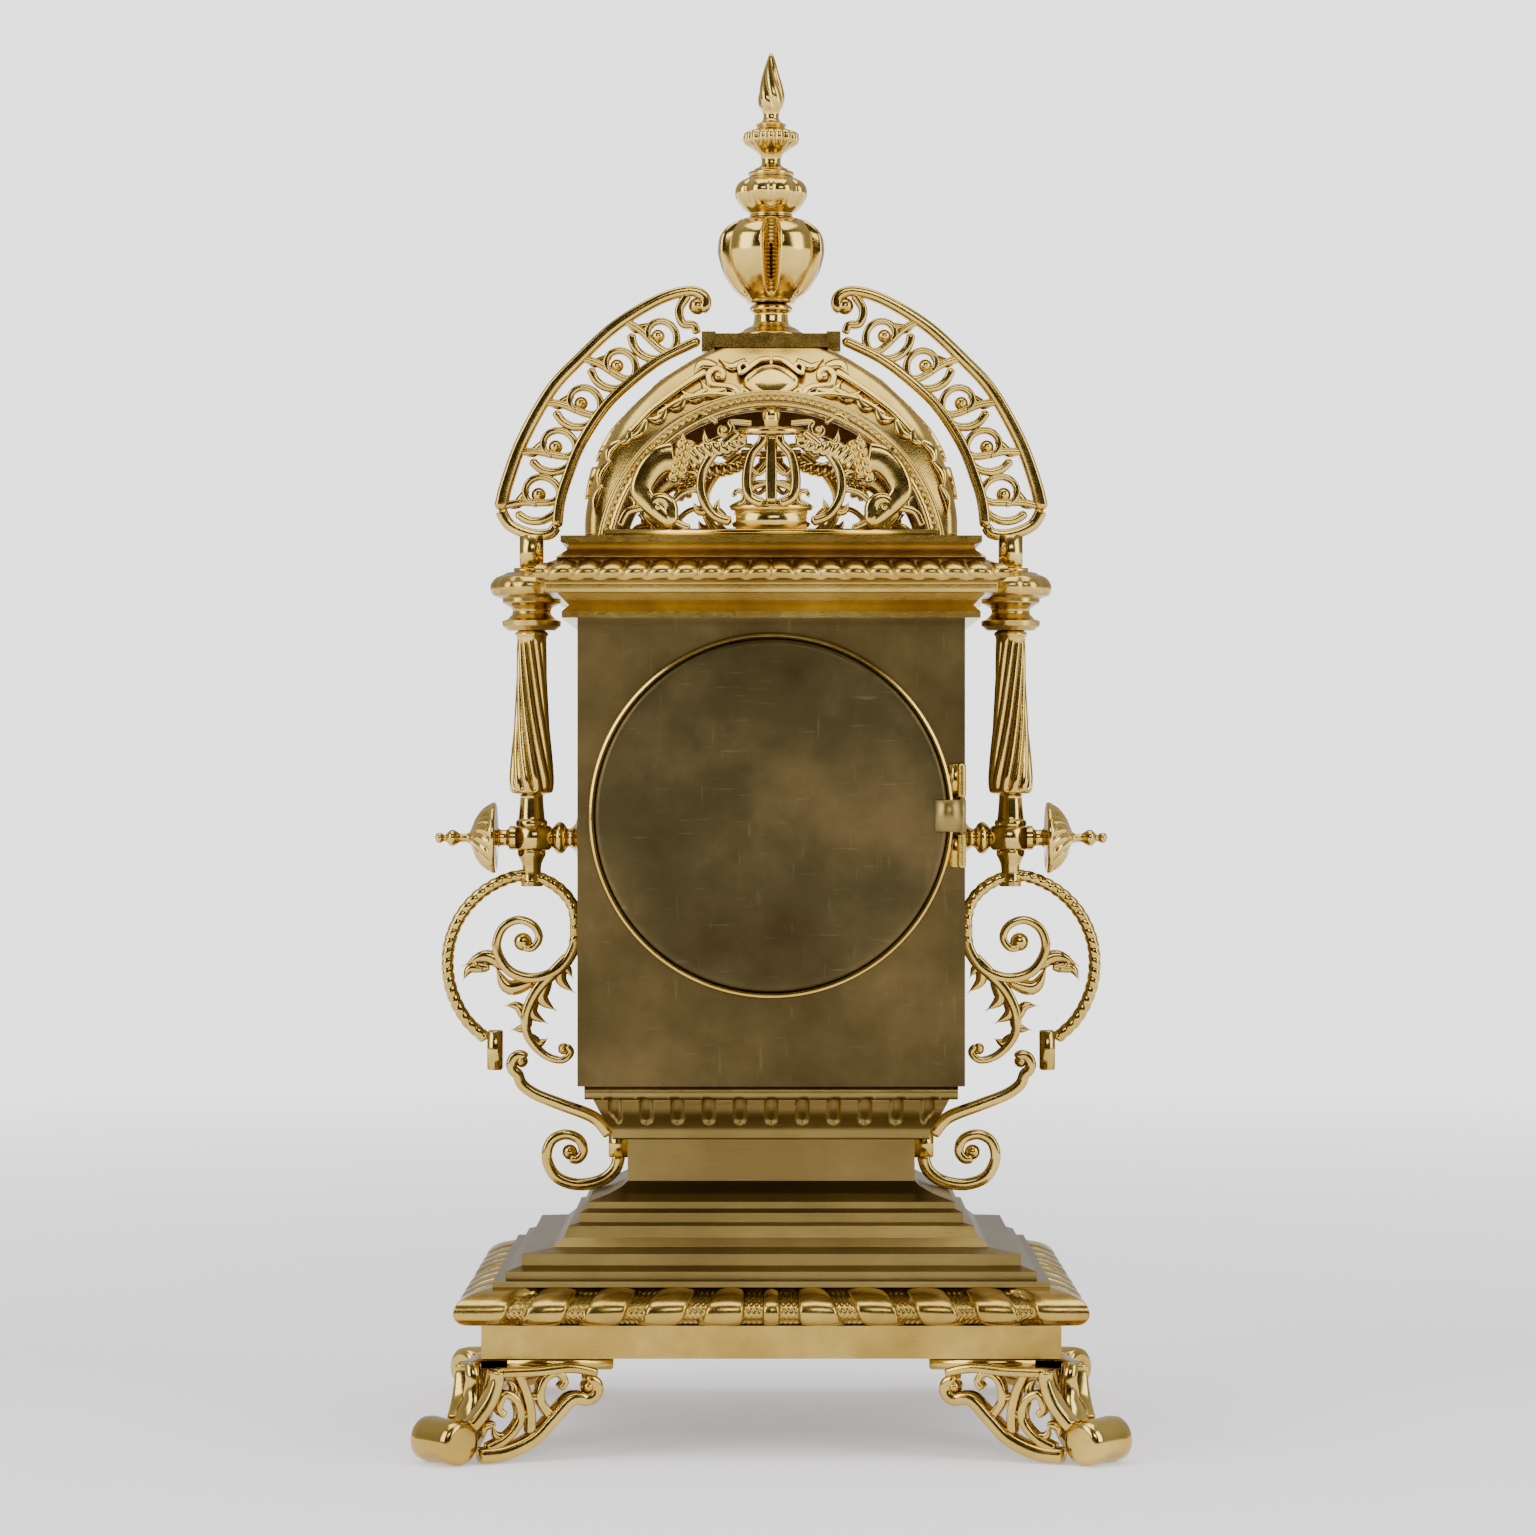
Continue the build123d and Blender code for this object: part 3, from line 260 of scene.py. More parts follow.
def brushed(name, light, deep, along):
    """Rolled brass drawn along one way with emery, with faint brown stains."""
    f = Finish(name)
    lines = f.noise(70.0, 6.0, 0.75, (1.0, 26.0, 26.0) if along == "x" else (26.0, 26.0, 1.0))
    cloud = f.noise(16.0, 4.0)
    colour = f.blend(f.ramp(cloud, (0.38, (0, 0, 0)), (0.66, (1, 1, 1))), deep, light)
    colour = f.blend((lines * 0.5).clamped(), colour, (deep[0] * 0.7, deep[1] * 0.68, deep[2] * 0.6))
    return f.shade(Base_Color=colour, Metallic=1.0, Roughness=(lines * 0.22 + 0.20).clamped(),
                   Normal=f.bump(lines, 0.35, 0.0001))


steps_brass = brushed("brushed_steps", (0.32, 0.235, 0.078), (0.20, 0.14, 0.042), "x")


def patina(name, light, deep, green):
    """Untouched sheet brass: cloudy brown and olive tarnish, fine scratches and dark specks."""
    f = Finish(name)
    cloud = f.noise(17.0, 5.0, 0.55)
    colour = f.ramp(cloud, (0.34, deep), (0.50, green), (0.66, light))
    fine = f.noise(120.0, 6.0, 0.7)
    colour = f.blend((fine * 0.55).clamped(), colour, (deep[0] * 0.75, deep[1] * 0.75, deep[2] * 0.7))
    level = f.noise(90.0, 2.0, 0.5, (1.0, 1.0, 11.0))
    upright = f.noise(70.0, 2.0, 0.5, (9.0, 9.0, 1.0))
    line = ((level - 0.66) * 8.0).clamped() * 0.7 + ((upright - 0.68) * 8.0).clamped() * 0.6
    colour = f.blend((line * 0.16).clamped(), colour, (0.50, 0.39, 0.20))
    specks = f.node("ShaderNodeTexVoronoi", Vector=f.place, Scale=210.0)
    speck = ((0.10 - specks) * 14.0).clamped() * (f.noise(40.0) * 2.0 - 0.6).clamped()
    colour = f.blend(speck * 0.7, colour, (0.05, 0.035, 0.02))
    return f.shade(Base_Color=colour, Metallic=1.0,
                   Roughness=(cloud * 0.30 + fine * 0.14 + 0.19).clamped(),
                   Normal=f.bump(fine + line * 0.4, 0.12, 0.0001))


case_patina = patina("case_patina", (0.215, 0.15, 0.058), (0.07, 0.044, 0.015), (0.125, 0.092, 0.033))
door_patina = patina("door_patina", (0.185, 0.13, 0.052), (0.056, 0.038, 0.014), (0.09, 0.073, 0.028))


def dress(material, *names):
    """Give CAD nodes whose shape is right their finish."""
    for name in names:
        node = nodes[name]
        node.data.materials.clear()
        node.data.materials.append(material)


dress(case_patina, "case_rear_plate", "case_left_plate", "case_right_plate", "case_front_plate",
      "case_floor_plate")
dress(door_patina, "rear_door")
dress(gilt_cast, "base_apron", "rear_door_ring", "cornice_lower_moulding", "cornice_upper_moulding",
      "dome_cap_plate", "pin_bracket_left", "pin_bracket_right", "finial_foot")
dress(steps_brass, "base_plinth", "waist_block")

# ---- Base rim ----
# A cast rim of fat lobes with matt strips between them, mitred round the base; the lobes lean
# away from the middle of each side. It is chased after casting and held down by the plinth.


def smooth(a, b, x):
    """Ease from 0 at a to 1 at b."""
    share = np.clip((x - a) / (b - a), 0.0, 1.0)
    return share * share * (3.0 - 2.0 * share)


def through(points, count):
    """A smooth line through points, evenly divided, as an array of count rows."""
    raw = np.array(points, float)
    ends = np.vstack([2 * raw[0] - raw[1], raw, 2 * raw[-1] - raw[-2]])
    rows = []
    for i in range(len(raw) - 1):
        a, b, c, d = ends[i:i + 4]
        t = np.linspace(0, 1, 24, endpoint=False)[:, None]
        rows.append(0.5 * (2 * b + (c - a) * t + (2 * a - 5 * b + 4 * c - d) * t ** 2
                           + (3 * b - a - 3 * c + d) * t ** 3))
    line = np.vstack(rows + [raw[-1:]])
    reach = np.concatenate([[0], np.cumsum(np.linalg.norm(np.diff(line, axis=0), axis=1))])
    at = np.linspace(0, reach[-1], count)
    return np.column_stack([np.interp(at, reach, line[:, k]) for k in range(raw.shape[1])])


class Skin:
    """Vertices in millimetres and faces of one piece, gathered from grids of points.

    place turns flat scrollwork, drawn as (x, y, z) rows in the XZ plane, into its real position.
    """

    def __init__(self, place=None):
        self.place = place
        self.points = []
        self.faces = []
        self.count = 0

    def grid(self, rows, around=False, capped=False):
        """rows is (m, n, 3); around joins the last column to the first, capped closes both ends."""
        m, n = rows.shape[:2]
        base = self.count
        self.points.append(rows.reshape(-1, 3))
        self.count += m * n
        wide = n if around else n - 1
        for i in range(m - 1):
            for k in range(wide):
                a, b = base + i * n + k, base + i * n + (k + 1) % n
                self.faces.append((a, b, b + n, a + n))
        if capped:
            for row in (0, m - 1):
                ring = [base + row * n + k for k in range(n)]
                self.points.append(rows[row].mean(axis=0)[None])
                for k in range(n):
                    pair = (ring[k], ring[(k + 1) % n])
                    self.faces.append((pair[1], pair[0], self.count) if row == 0 else (*pair, self.count))
                self.count += 1
        return self

    def placed(self, rows):
        """Add one closed strip of scrollwork where this piece stands."""
        return self.grid(rows if self.place is None else self.place(rows), around=True, capped=True)

    def piece(self, name, body, material, *replaced, slot="gilt_brass", flat=False):
        """Weld, turn the faces outwards, and hand the piece to the frame."""
        mesh = bpy.data.meshes.new(name)
        mesh.from_pydata((np.vstack(self.points) * MM).tolist(), [], self.faces)
        return finish_piece(mesh, name, body, material, replaced, flat)


def finish_piece(mesh, name, body, material, replaced, flat=False):
    """Clean a mesh and make it a piece that rides on a body."""
    work = bmesh.new()
    work.from_mesh(mesh)
    bmesh.ops.remove_doubles(work, verts=work.verts, dist=0.000004)
    bmesh.ops.recalc_face_normals(work, faces=work.faces)
    for face in work.faces:
        face.smooth = not flat
    work.to_mesh(mesh)
    work.free()
    made = bpy.data.objects.new(name, mesh)
    scene.collection.objects.link(made)
    mesh.materials.clear()
    mesh.materials.append(material)
    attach(made, body)
    if replaced:
        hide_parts(*replaced)
    return made


def framed(skin, hx, hy, profile, relief, along):
    """A moulding round a rectangle: profile is (out, height) rows, relief pushes it outwards."""
    shape = np.array(profile, float)
    step = np.diff(shape, axis=0)
    tangent = np.gradient(shape, axis=0)
    push = np.column_stack([tangent[:, 1], -tangent[:, 0]])
    push /= np.maximum(np.linalg.norm(push, axis=1), 1e-9)[:, None]
    t = np.concatenate([[0], np.cumsum(np.linalg.norm(step, axis=1))])
    t /= t[-1]
    for length, depth, axis, sign in ((hx, hy, 0, -1), (hx, hy, 0, 1), (hy, hx, 1, -1), (hy, hx, 1, 1)):
        u = np.linspace(-1, 1, along)
        rows = np.zeros((len(shape), along, 3))
        for k, (out, height) in enumerate(shape):
            half = length + out
            place = u * half
            lift = relief(place, t[k], half)
            rows[k, :, axis] = place
            rows[k, :, 1 - axis] = sign * (depth + out + push[k, 0] * lift)
            rows[k, :, 2] = height + push[k, 1] * lift
        skin.grid(rows)
    return skin


def arc_profile(*points, count=30):
    """A smooth profile through (out, height) points."""
    return through(points, count)


low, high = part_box("base_gadroon_rim")
rim_z0, rim_z1 = low[2] / MM, high[2] / MM
apron_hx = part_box("base_apron")[1][0] / MM
apron_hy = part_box("base_apron")[1][1] / MM
LOBE_PITCH = 18.0
STRIP_SHARE = 0.33
LOBE_SINK = 2.1


def base_lobes(place, t, half):
    """Lobes leaning outwards from the middle; a pair of narrow ones stands at the centre."""
    lean = 7.5 * (t - 0.35)
    side = np.abs(place) + lean * smooth(4.0, 20.0, np.abs(place))
    phase = np.mod(side - 2.4, LOBE_PITCH) / LOBE_PITCH
    strip = 1.0 - smooth(0.0, 0.07, np.abs(phase - STRIP_SHARE / 2) - STRIP_SHARE / 2 + 0.03)
    crown = np.sin(np.clip((phase - STRIP_SHARE) / (1 - STRIP_SHARE), 0, 1) * pi) ** 0.45
    bounds = smooth(0.04, 0.14, t) * (1 - smooth(0.86, 0.97, t))
    texture = 0.20 * np.sin(place * 3.9) * np.sin(t * 62.0)
    corner = smooth(half - 13.0, half - 9.5, np.abs(place))
    lobe = -LOBE_SINK * (strip * (1.0 - texture)) - 1.1 * (1 - crown) * (1 - strip)
    return lobe * bounds * (1 - corner)


base_profile = arc_profile((-2.0, rim_z0), (1.5, rim_z0 + 0.2), (5.4, rim_z0 + 0.9),
                           (7.6, rim_z0 + 2.9), (7.95, rim_z0 + 5.2), (6.7, rim_z0 + 7.6),
                           (3.2, rim_z0 + 9.6), (-0.8, rim_z0 + 10.8), (-3.4, rim_z1), (-6.9, rim_z1),
                           count=34)
framed(Skin(), apron_hx, apron_hy, base_profile, base_lobes, 560).piece(
    "base_lobed_rim", "clock_case", gilt_cast, "base_gadroon_rim")

# ---- Cornice rim and ears ----
# Smaller lobes run round the cornice between two fillets. Each side carries a turned ear, cast
# with the rim, that holds a column below and a crest post above.
cornice_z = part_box("cornice_lower_moulding")[0][2] / MM
case_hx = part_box("case_floor_plate")[1][0] / MM + 2.0
case_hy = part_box("case_rear_plate")[0][1] / -MM
EAR_X = (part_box("column_left")[0][0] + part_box("column_left")[1][0]) / 2 / MM
CORNICE_PITCH = 7.6


def cornice_lobes(place, t, half):
    """Upright lobes that lean a little, parted by sharp grooves, on the rounded part only."""
    side = np.abs(place) + 3.4 * (t - 0.5)
    phase = np.mod(side, CORNICE_PITCH) / CORNICE_PITCH
    groove = 1.0 - np.abs(np.sin(phase * pi)) ** 0.55
    return -1.7 * groove * smooth(0.40, 0.50, t) * (1 - smooth(0.84, 0.93, t))


rim_profile = arc_profile((2.5, cornice_z + 7.6), (8.2, cornice_z + 7.6), (9.4, cornice_z + 7.7),
                          (9.6, cornice_z + 10.2), (9.7, cornice_z + 10.9), (11.1, cornice_z + 11.1),
                          (12.6, cornice_z + 12.2), (13.0, cornice_z + 13.8), (12.2, cornice_z + 15.4),
                          (9.9, cornice_z + 16.8), (6.8, cornice_z + 17.9), (5.6, cornice_z + 18.6),
                          (3.0, cornice_z + 18.6), count=44)
cornice = framed(Skin(), case_hx, case_hy, rim_profile, cornice_lobes, 420)


def lathe(skin, profile, centre=(0, 0, 0), axis="z", around=72, bulge=None, count=90, sharp=False,
          capped=True):
    """A turned piece; bulge(angle, height, radius) returns the radius of a fluted or lobed one."""
    shape = np.array(profile, float) if sharp else through(profile, count)
    angles = np.linspace(0, 2 * pi, around, endpoint=False)
    rows = np.zeros((len(shape), around, 3))
    for k, (radius, height) in enumerate(shape):
        r = np.full(around, radius) if bulge is None else bulge(angles, height, radius)
        ring = (r * np.cos(angles), r * np.sin(angles))
        up = np.full(around, height)
        order = {"z": (ring[0], ring[1], up), "x": (up, ring[0], ring[1]),
                 "-x": (-up, ring[0], ring[1]), "-y": (ring[0], -up, ring[1]),
                 "y": (ring[0], up, ring[1])}[axis]
        rows[k] = np.column_stack(order) + np.array(centre)
    return skin.grid(rows, around=True, capped=capped)


def crisp(*stations):
    """A lathe profile with true corners: each corner point is doubled by close neighbours."""
    rows = []
    for (r0, z0), (r1, z1) in zip(stations, stations[1:]):
        for share in (0.0, 0.03, 0.5, 0.97):
            rows.append((r0 + (r1 - r0) * share, z0 + (z1 - z0) * share))
    return rows + [stations[-1]]


def ear_lobes(angles, height, radius):
    """Plain lobes on the ear's torus, as on the rim."""
    on_torus = float(smooth(3.6, 4.6, height) * (1 - smooth(8.4, 9.6, height)))
    return radius - 0.9 * on_torus * (1 - np.abs(np.sin(angles * 5.0 + 0.3)) ** 0.5)


ear_profile = crisp((7.6, -7.6), (9.3, -6.2), (9.4, -4.6), (7.6, -3.9)) + list(arc_profile(
    (7.2, -3.4), (6.2, -2.2), (6.4, -0.6), (8.6, 0.8), (9.2, 1.2), count=12))
ear_profile += crisp((9.3, 1.4), (9.3, 2.6)) + list(arc_profile(
    (10.6, 2.9), (12.6, 3.7), (13.35, 5.6), (13.1, 7.4), (11.6, 9.2), (9.2, 10.2), (7.6, 11.0),
    (3.6, 11.0), count=24))
for side in (-1, 1):
    lathe(cornice, ear_profile, (side * -EAR_X, 0, cornice_z + 5.4), "z", 96, ear_lobes, sharp=True)
    for z0, z1, out in ((7.8, 16.4, 9.0), (8.6, 15.4, 9.8)):
        ends = sorted((side * (case_hx + 8.0), side * (-EAR_X)))
        corners = ((ends[0], -out), (ends[1], -out), (ends[1], out), (ends[0], out))
        block = [[(x, y, cornice_z + z) for x, y in corners] for z in (z0, z1)]
        cornice.grid(np.array(block, float), around=True, capped=True)
cornice.piece("cornice_lobed_rim", "clock_case", gilt_cast, "cornice_gadroon_rim")

# ---- Finial ----
# Four turned and chased castings on one long bolt: a stem, an urn of six fat lobes with pierced
# slots between, a smaller lobed knop, and a spire with a beaded ring under a twisted flame.
finial_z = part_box("finial_foot")[0][2] / MM


def urn_bulge(angles, height, radius):
    """Six round lobes; a ribbed strip with a slot lies in each valley."""
    up = height - finial_z
    body = float(smooth(12.4, 15.5, up) * (1 - smooth(36.6, 38.2, up)))
    wave = np.abs(np.sin(3.0 * (angles + pi / 2)))
    lobe = 0.70 + 0.30 * smooth(0.16, 0.62, wave) ** 0.8
    ribs = (1 - smooth(0.10, 0.22, wave)) * 0.03 * np.sin(up * 5.0)
    slot = (1 - smooth(0.05, 0.10, wave)) * float(smooth(17.5, 19.0, up) * (1 - smooth(28.0, 29.5, up)))
    return radius * (1 - body + body * (lobe + ribs - 0.34 * slot))


def knop_bulge(angles, height, radius):
    """Lobes below the shoulder of the knop, with a thin bead in each valley."""
    up = height - finial_z
    body = float(smooth(40.2, 42.6, up) * (1 - smooth(49.4, 51.4, up)))
    wave = np.abs(np.sin(4.0 * (angles + pi / 2)))
    bead = 0.07 * (1 - smooth(0.0, 0.16, wave))
    return radius * (1 - body * (0.17 * (1 - wave ** 0.55) - bead))


def spire_bulge(angles, height, radius):
    """A beaded ring, then five strands that twist up to the tip."""
    up = height - finial_z
    ring = float(smooth(60.6, 62.2, up) * (1 - smooth(66.0, 67.2, up)))
    flame = float(smooth(72.6, 74.6, up) * (1 - smooth(88.6, 91.0, up)))
    beads = 0.12 * (1 - np.abs(np.sin(9.0 * angles)) ** 0.6)
    strands = 0.20 * (1 - np.abs(np.sin(2.5 * angles + (up - 73) * 0.26)) ** 0.7)
    return radius * (1 - ring * beads - flame * strands)


def lifted(*profile):
    """A profile whose heights are measured from the finial's seat."""
    return [(r, finial_z + up) for r, up in profile]


urn = lathe(Skin(), lifted((5.4, 11.0), (7.4, 11.2), (8.2, 12.4), (11.6, 15.2), (15.0, 20.4),
                           (16.8, 26.0), (17.0, 29.4), (16.2, 33.0), (13.6, 36.0), (10.6, 37.6),
                           (8.0, 38.2), (5.0, 38.6)), around=288, bulge=urn_bulge, count=130)
urn.piece("finial_lobed_urn", "clock_case", gilt_bright, "finial_urn")
knop = lathe(Skin(), lifted((5.6, 38.6), (7.0, 38.7), (6.8, 39.8), (9.4, 41.8), (11.6, 44.8),
                            (12.0, 47.0), (10.8, 49.4), (8.0, 51.0), (6.9, 51.6), (7.3, 52.3),
                            (6.8, 53.2), (3.4, 53.4)), around=240, bulge=knop_bulge, count=90)
knop.piece("finial_lobed_knop", "clock_case", gilt_bright, "finial_knop")
spire = lathe(Skin(), lifted((5.0, 53.4), (5.4, 54.0), (3.4, 55.2), (3.1, 57.2), (3.9, 59.0),
                             (6.0, 60.6), (8.6, 62.4), (9.0, 64.0), (8.4, 65.6), (5.2, 66.8),
                             (4.4, 67.6), (5.0, 68.2), (3.2, 69.2), (2.5, 70.6), (2.7, 72.4),
                             (3.9, 74.4), (4.35, 77.0), (3.9, 80.0), (2.9, 84.0), (1.9, 87.4),
                             (1.0, 90.0), (0.3, 91.35)), around=144, bulge=spire_bulge, count=190)
spire.piece("finial_flame_spire", "clock_case", gilt_bright, "finial_spire")
stem = lathe(Skin(), lifted((11.15, 0.05), (11.2, 1.0), (10.2, 1.7), (9.4, 2.0), (8.4, 2.9), (6.0, 4.2),
                            (5.4, 6.4), (5.5, 7.8), (6.6, 8.6), (6.8, 9.6), (6.2, 10.4), (4.6, 11.0)),
             around=96, count=80)
stem.piece("finial_stem", "clock_case", gilt_bright, "finial_foot")

# ---- Side columns ----
# A tapered column hangs from each ear, fluted in a slow spiral, with a plain turned neck and
# ring where it meets the block below.
column_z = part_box("column_left")[0][2] / MM
column_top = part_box("column_left")[1][2] / MM


def column_bulge(angles, height, radius):
    """Twelve rope-like flutes, deeper where the shaft is thick."""
    up = height - column_z
    shaft = float(smooth(10.9, 12.8, up) * (1 - smooth(58.4, 60.0, up)))
    return radius * (1 - shaft * 0.17 * (1 - np.abs(np.sin(6.0 * angles + up * 0.19)) ** 0.75))


shaft_profile = [(4.2, 0.0), (5.0, 0.2), (5.1, 1.0), (4.9, 2.0), (4.3, 2.4), (4.0, 5.0), (3.7, 9.4),
                 (4.2, 10.2), (6.4, 10.8), (7.0, 12.0), (7.35, 14.9), (7.0, 19.0), (6.2, 27.5),
                 (5.7, 34.0), (5.2, 42.0), (4.8, 56.0), (4.74, 60.2), (5.2, 61.0), (5.25, 62.0),
                 (4.2, column_top - column_z)]
for side, word in ((-1, "left"), (1, "right")):
    column = lathe(Skin(), [(r, column_z + up) for r, up in shaft_profile], (side * -EAR_X, 0, 0),
                   around=192, bulge=lambda a, h, r, s=side: column_bulge(a * -s, h, r), count=150)
    column.piece("spiral_column_" + word, "clock_case", gilt_bright, "column_" + word)

# ---- Rosette pins ----
# A turned pin is screwed into each block from outside. Its dished disc is chased with leaning
# gadroons and its end carries a bead and a small ball.
pin_z = (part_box("rosette_pin_left")[0][2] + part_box("rosette_pin_left")[1][2]) / 2 / MM
block_x = -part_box("pin_bracket_left")[0][0] / MM


def rosette_bulge(angles, height, radius):
    """Gadroons that swirl over the face of the disc."""
    face = float(smooth(7.6, 8.6, height) * (1 - smooth(13.2, 14.4, height)))
    return radius * (1 - face * 0.13 * (1 - np.abs(np.sin(8.0 * angles + height * 0.42)) ** 0.6))


pin_profile = crisp((2.2, 0.0), (3.9, 0.1), (3.9, 1.9)) + [tuple(r) for r in through([(3.4, 2.2),
                                                                                      (2.7, 2.8),
                                                                                      (2.6, 4.4),
                                                                                      (3.2, 5.6),
                                                                                      (6.0, 6.1),
                                                                                      (10.4, 6.3),
                                                                                      (11.35, 6.7),
                                                                                      (11.35, 7.6),
                                                                                      (10.8, 8.6),
                                                                                      (9.2, 10.8),
                                                                                      (6.6, 12.8),
                                                                                      (3.8, 14.0),
                                                                                      (2.0, 14.8),
                                                                                      (1.4, 15.8),
                                                                                      (1.4, 17.8),
                                                                                      (1.9, 18.6),
                                                                                      (2.6, 20.0),
                                                                                      (2.4, 21.2),
                                                                                      (1.2, 22.4),
                                                                                      (1.1, 23.0),
                                                                                      (1.7, 24.2),
                                                                                      (1.4, 25.4),
                                                                                      (0.3, 25.95)],
                                                                                     110)]
for side, word, axis in ((-1, "left", "-x"), (1, "right", "x")):
    pin = lathe(Skin(), pin_profile, (side * block_x, 0, pin_z), axis, 160, rosette_bulge, sharp=True)
    pin.piece("rosette_pin_cast_" + word, "clock_case", gilt_bright, "rosette_pin_" + word)

# ---- Ring scrolls, lower scrolls and crests ----
# Flat castings in the plane of the columns, rounded on both faces by filing. The ring is chased
# as a rope, its strand as leaves, and every end curls into a small ball.


def ribbon(skin, line, width, end_width, half_thick, rope=0.0, rope_pitch=3.6, flat=0.55, count=None):
    """A rounded strip along a line, squarer with a small flat; rope twists its edge."""
    path = through(line, count or max(40, 14 * len(line)))
    n = len(path)
    along = np.gradient(path, axis=0)
    along /= np.linalg.norm(along, axis=1)[:, None]
    side = np.column_stack([-along[:, 1], along[:, 0]])
    reach = np.concatenate([[0], np.cumsum(np.linalg.norm(np.diff(path, axis=0), axis=1))])
    angles = np.linspace(0, 2 * pi, 20, endpoint=False)
    across = np.sign(np.cos(angles)) * np.abs(np.cos(angles)) ** flat
    deep = np.sign(np.sin(angles)) * np.abs(np.sin(angles)) ** flat
    rows = np.zeros((n, len(angles), 3))
    for k in range(n):
        share = k / (n - 1)
        half = (width + (end_width - width) * share) / 2
        cap = min(1.0, sqrt(max(0.0, min(share, 1 - share) * (n - 1) / 2.2)) + 0.02)
        twist = 1.0 + rope * (np.abs(np.sin(reach[k] * pi / rope_pitch + angles)) ** 0.7 - 1.0)
        w = half * across * cap * twist
        rows[k, :, 0] = path[k, 0] + side[k, 0] * w
        rows[k, :, 1] = half_thick * deep * cap * twist
        rows[k, :, 2] = path[k, 1] + side[k, 1] * w
    return skin.placed(rows)


def ball(skin, x, z, radius, half_thick, y=0.0):
    """A flattened ball at the eye of a volute."""
    ring = np.linspace(0, 2 * pi, 24, endpoint=False)
    rows = np.zeros((11, 24, 3))
    for k, tilt in enumerate(np.linspace(-pi / 2 + 0.02, pi / 2 - 0.02, 11)):
        rows[k, :, 0] = x + radius * cos(tilt) * np.cos(ring)
        rows[k, :, 2] = z + radius * cos(tilt) * np.sin(ring)
        rows[k, :, 1] = y + half_thick * sin(tilt)
    return skin.placed(rows)


def curl(cx, cz, start_r, end_r, start_deg, turn_deg, steps=9):
    """Points of a volute about a centre."""
    share = np.linspace(0, 1, steps)
    radius = start_r + (end_r - start_r) * share
    angle = np.radians(start_deg + turn_deg * share)
    return [(cx + r * cos(a), cz + r * sin(a)) for r, a in zip(radius, angle)]


def slab_bar(skin, x0, x1, y0, y1, z0, z1, ease=0.5):
    """A squared bar with eased edges."""
    rows = []
    for inset, z in ((ease, z0), (0, z0 + ease), (0, z1 - ease), (ease, z1)):
        corners = []
        for sx, sy in ((-1, -1), (1, -1), (1, 1), (-1, 1)):
            cx, cy = (x0 + x1) / 2, (y0 + y1) / 2
            hx, hy = (x1 - x0) / 2 - inset, (y1 - y0) / 2 - inset
            corners += [(cx + sx * hx, cy + sy * hy, z)]
        rows.append(corners)
    return skin.grid(np.array(rows, float), around=True, capped=True)


def flip(side):
    """Place for the left or the right copy of a flat casting."""
    return lambda rows: rows * np.array([1.0 if side < 0 else -1.0, 1.0, 1.0])


def leaf(skin, root, tip, width, half_thick, bend=0.25):
    """A small pointed leaf that curls off a strand."""
    root, tip = np.array(root, float), np.array(tip, float)
    way = tip - root
    middle = (root + tip) / 2 + bend * np.array([-way[1], way[0]])
    path = through([root, middle, tip], 14)
    along = np.gradient(path, axis=0)
    along /= np.linalg.norm(along, axis=1)[:, None]
    side = np.column_stack([-along[:, 1], along[:, 0]])
    angles = np.linspace(0, 2 * pi, 12, endpoint=False)
    rows = np.zeros((14, 12, 3))
    for k in range(14):
        share = k / 13
        half = width / 2 * max(0.06, sin(pi * min(1.0, 0.18 + share * 0.86)))
        rows[k, :, 0] = path[k, 0] + side[k, 0] * half * np.cos(angles)
        rows[k, :, 1] = half_thick * (1 - 0.5 * share) * np.sin(angles)
        rows[k, :, 2] = path[k, 1] + side[k, 1] * half * np.cos(angles)
    return skin.placed(rows)


def leaves(skin, half_thick, base_z, table):
    """A spray of leaves as (root x, root z, tip x, tip z, width, bend), heights over a base."""
    for root_x, root_z, tip_x, tip_z, width, bend in table:
        leaf(skin, (root_x, base_z + root_z), (tip_x, base_z + tip_z), width, half_thick, bend)


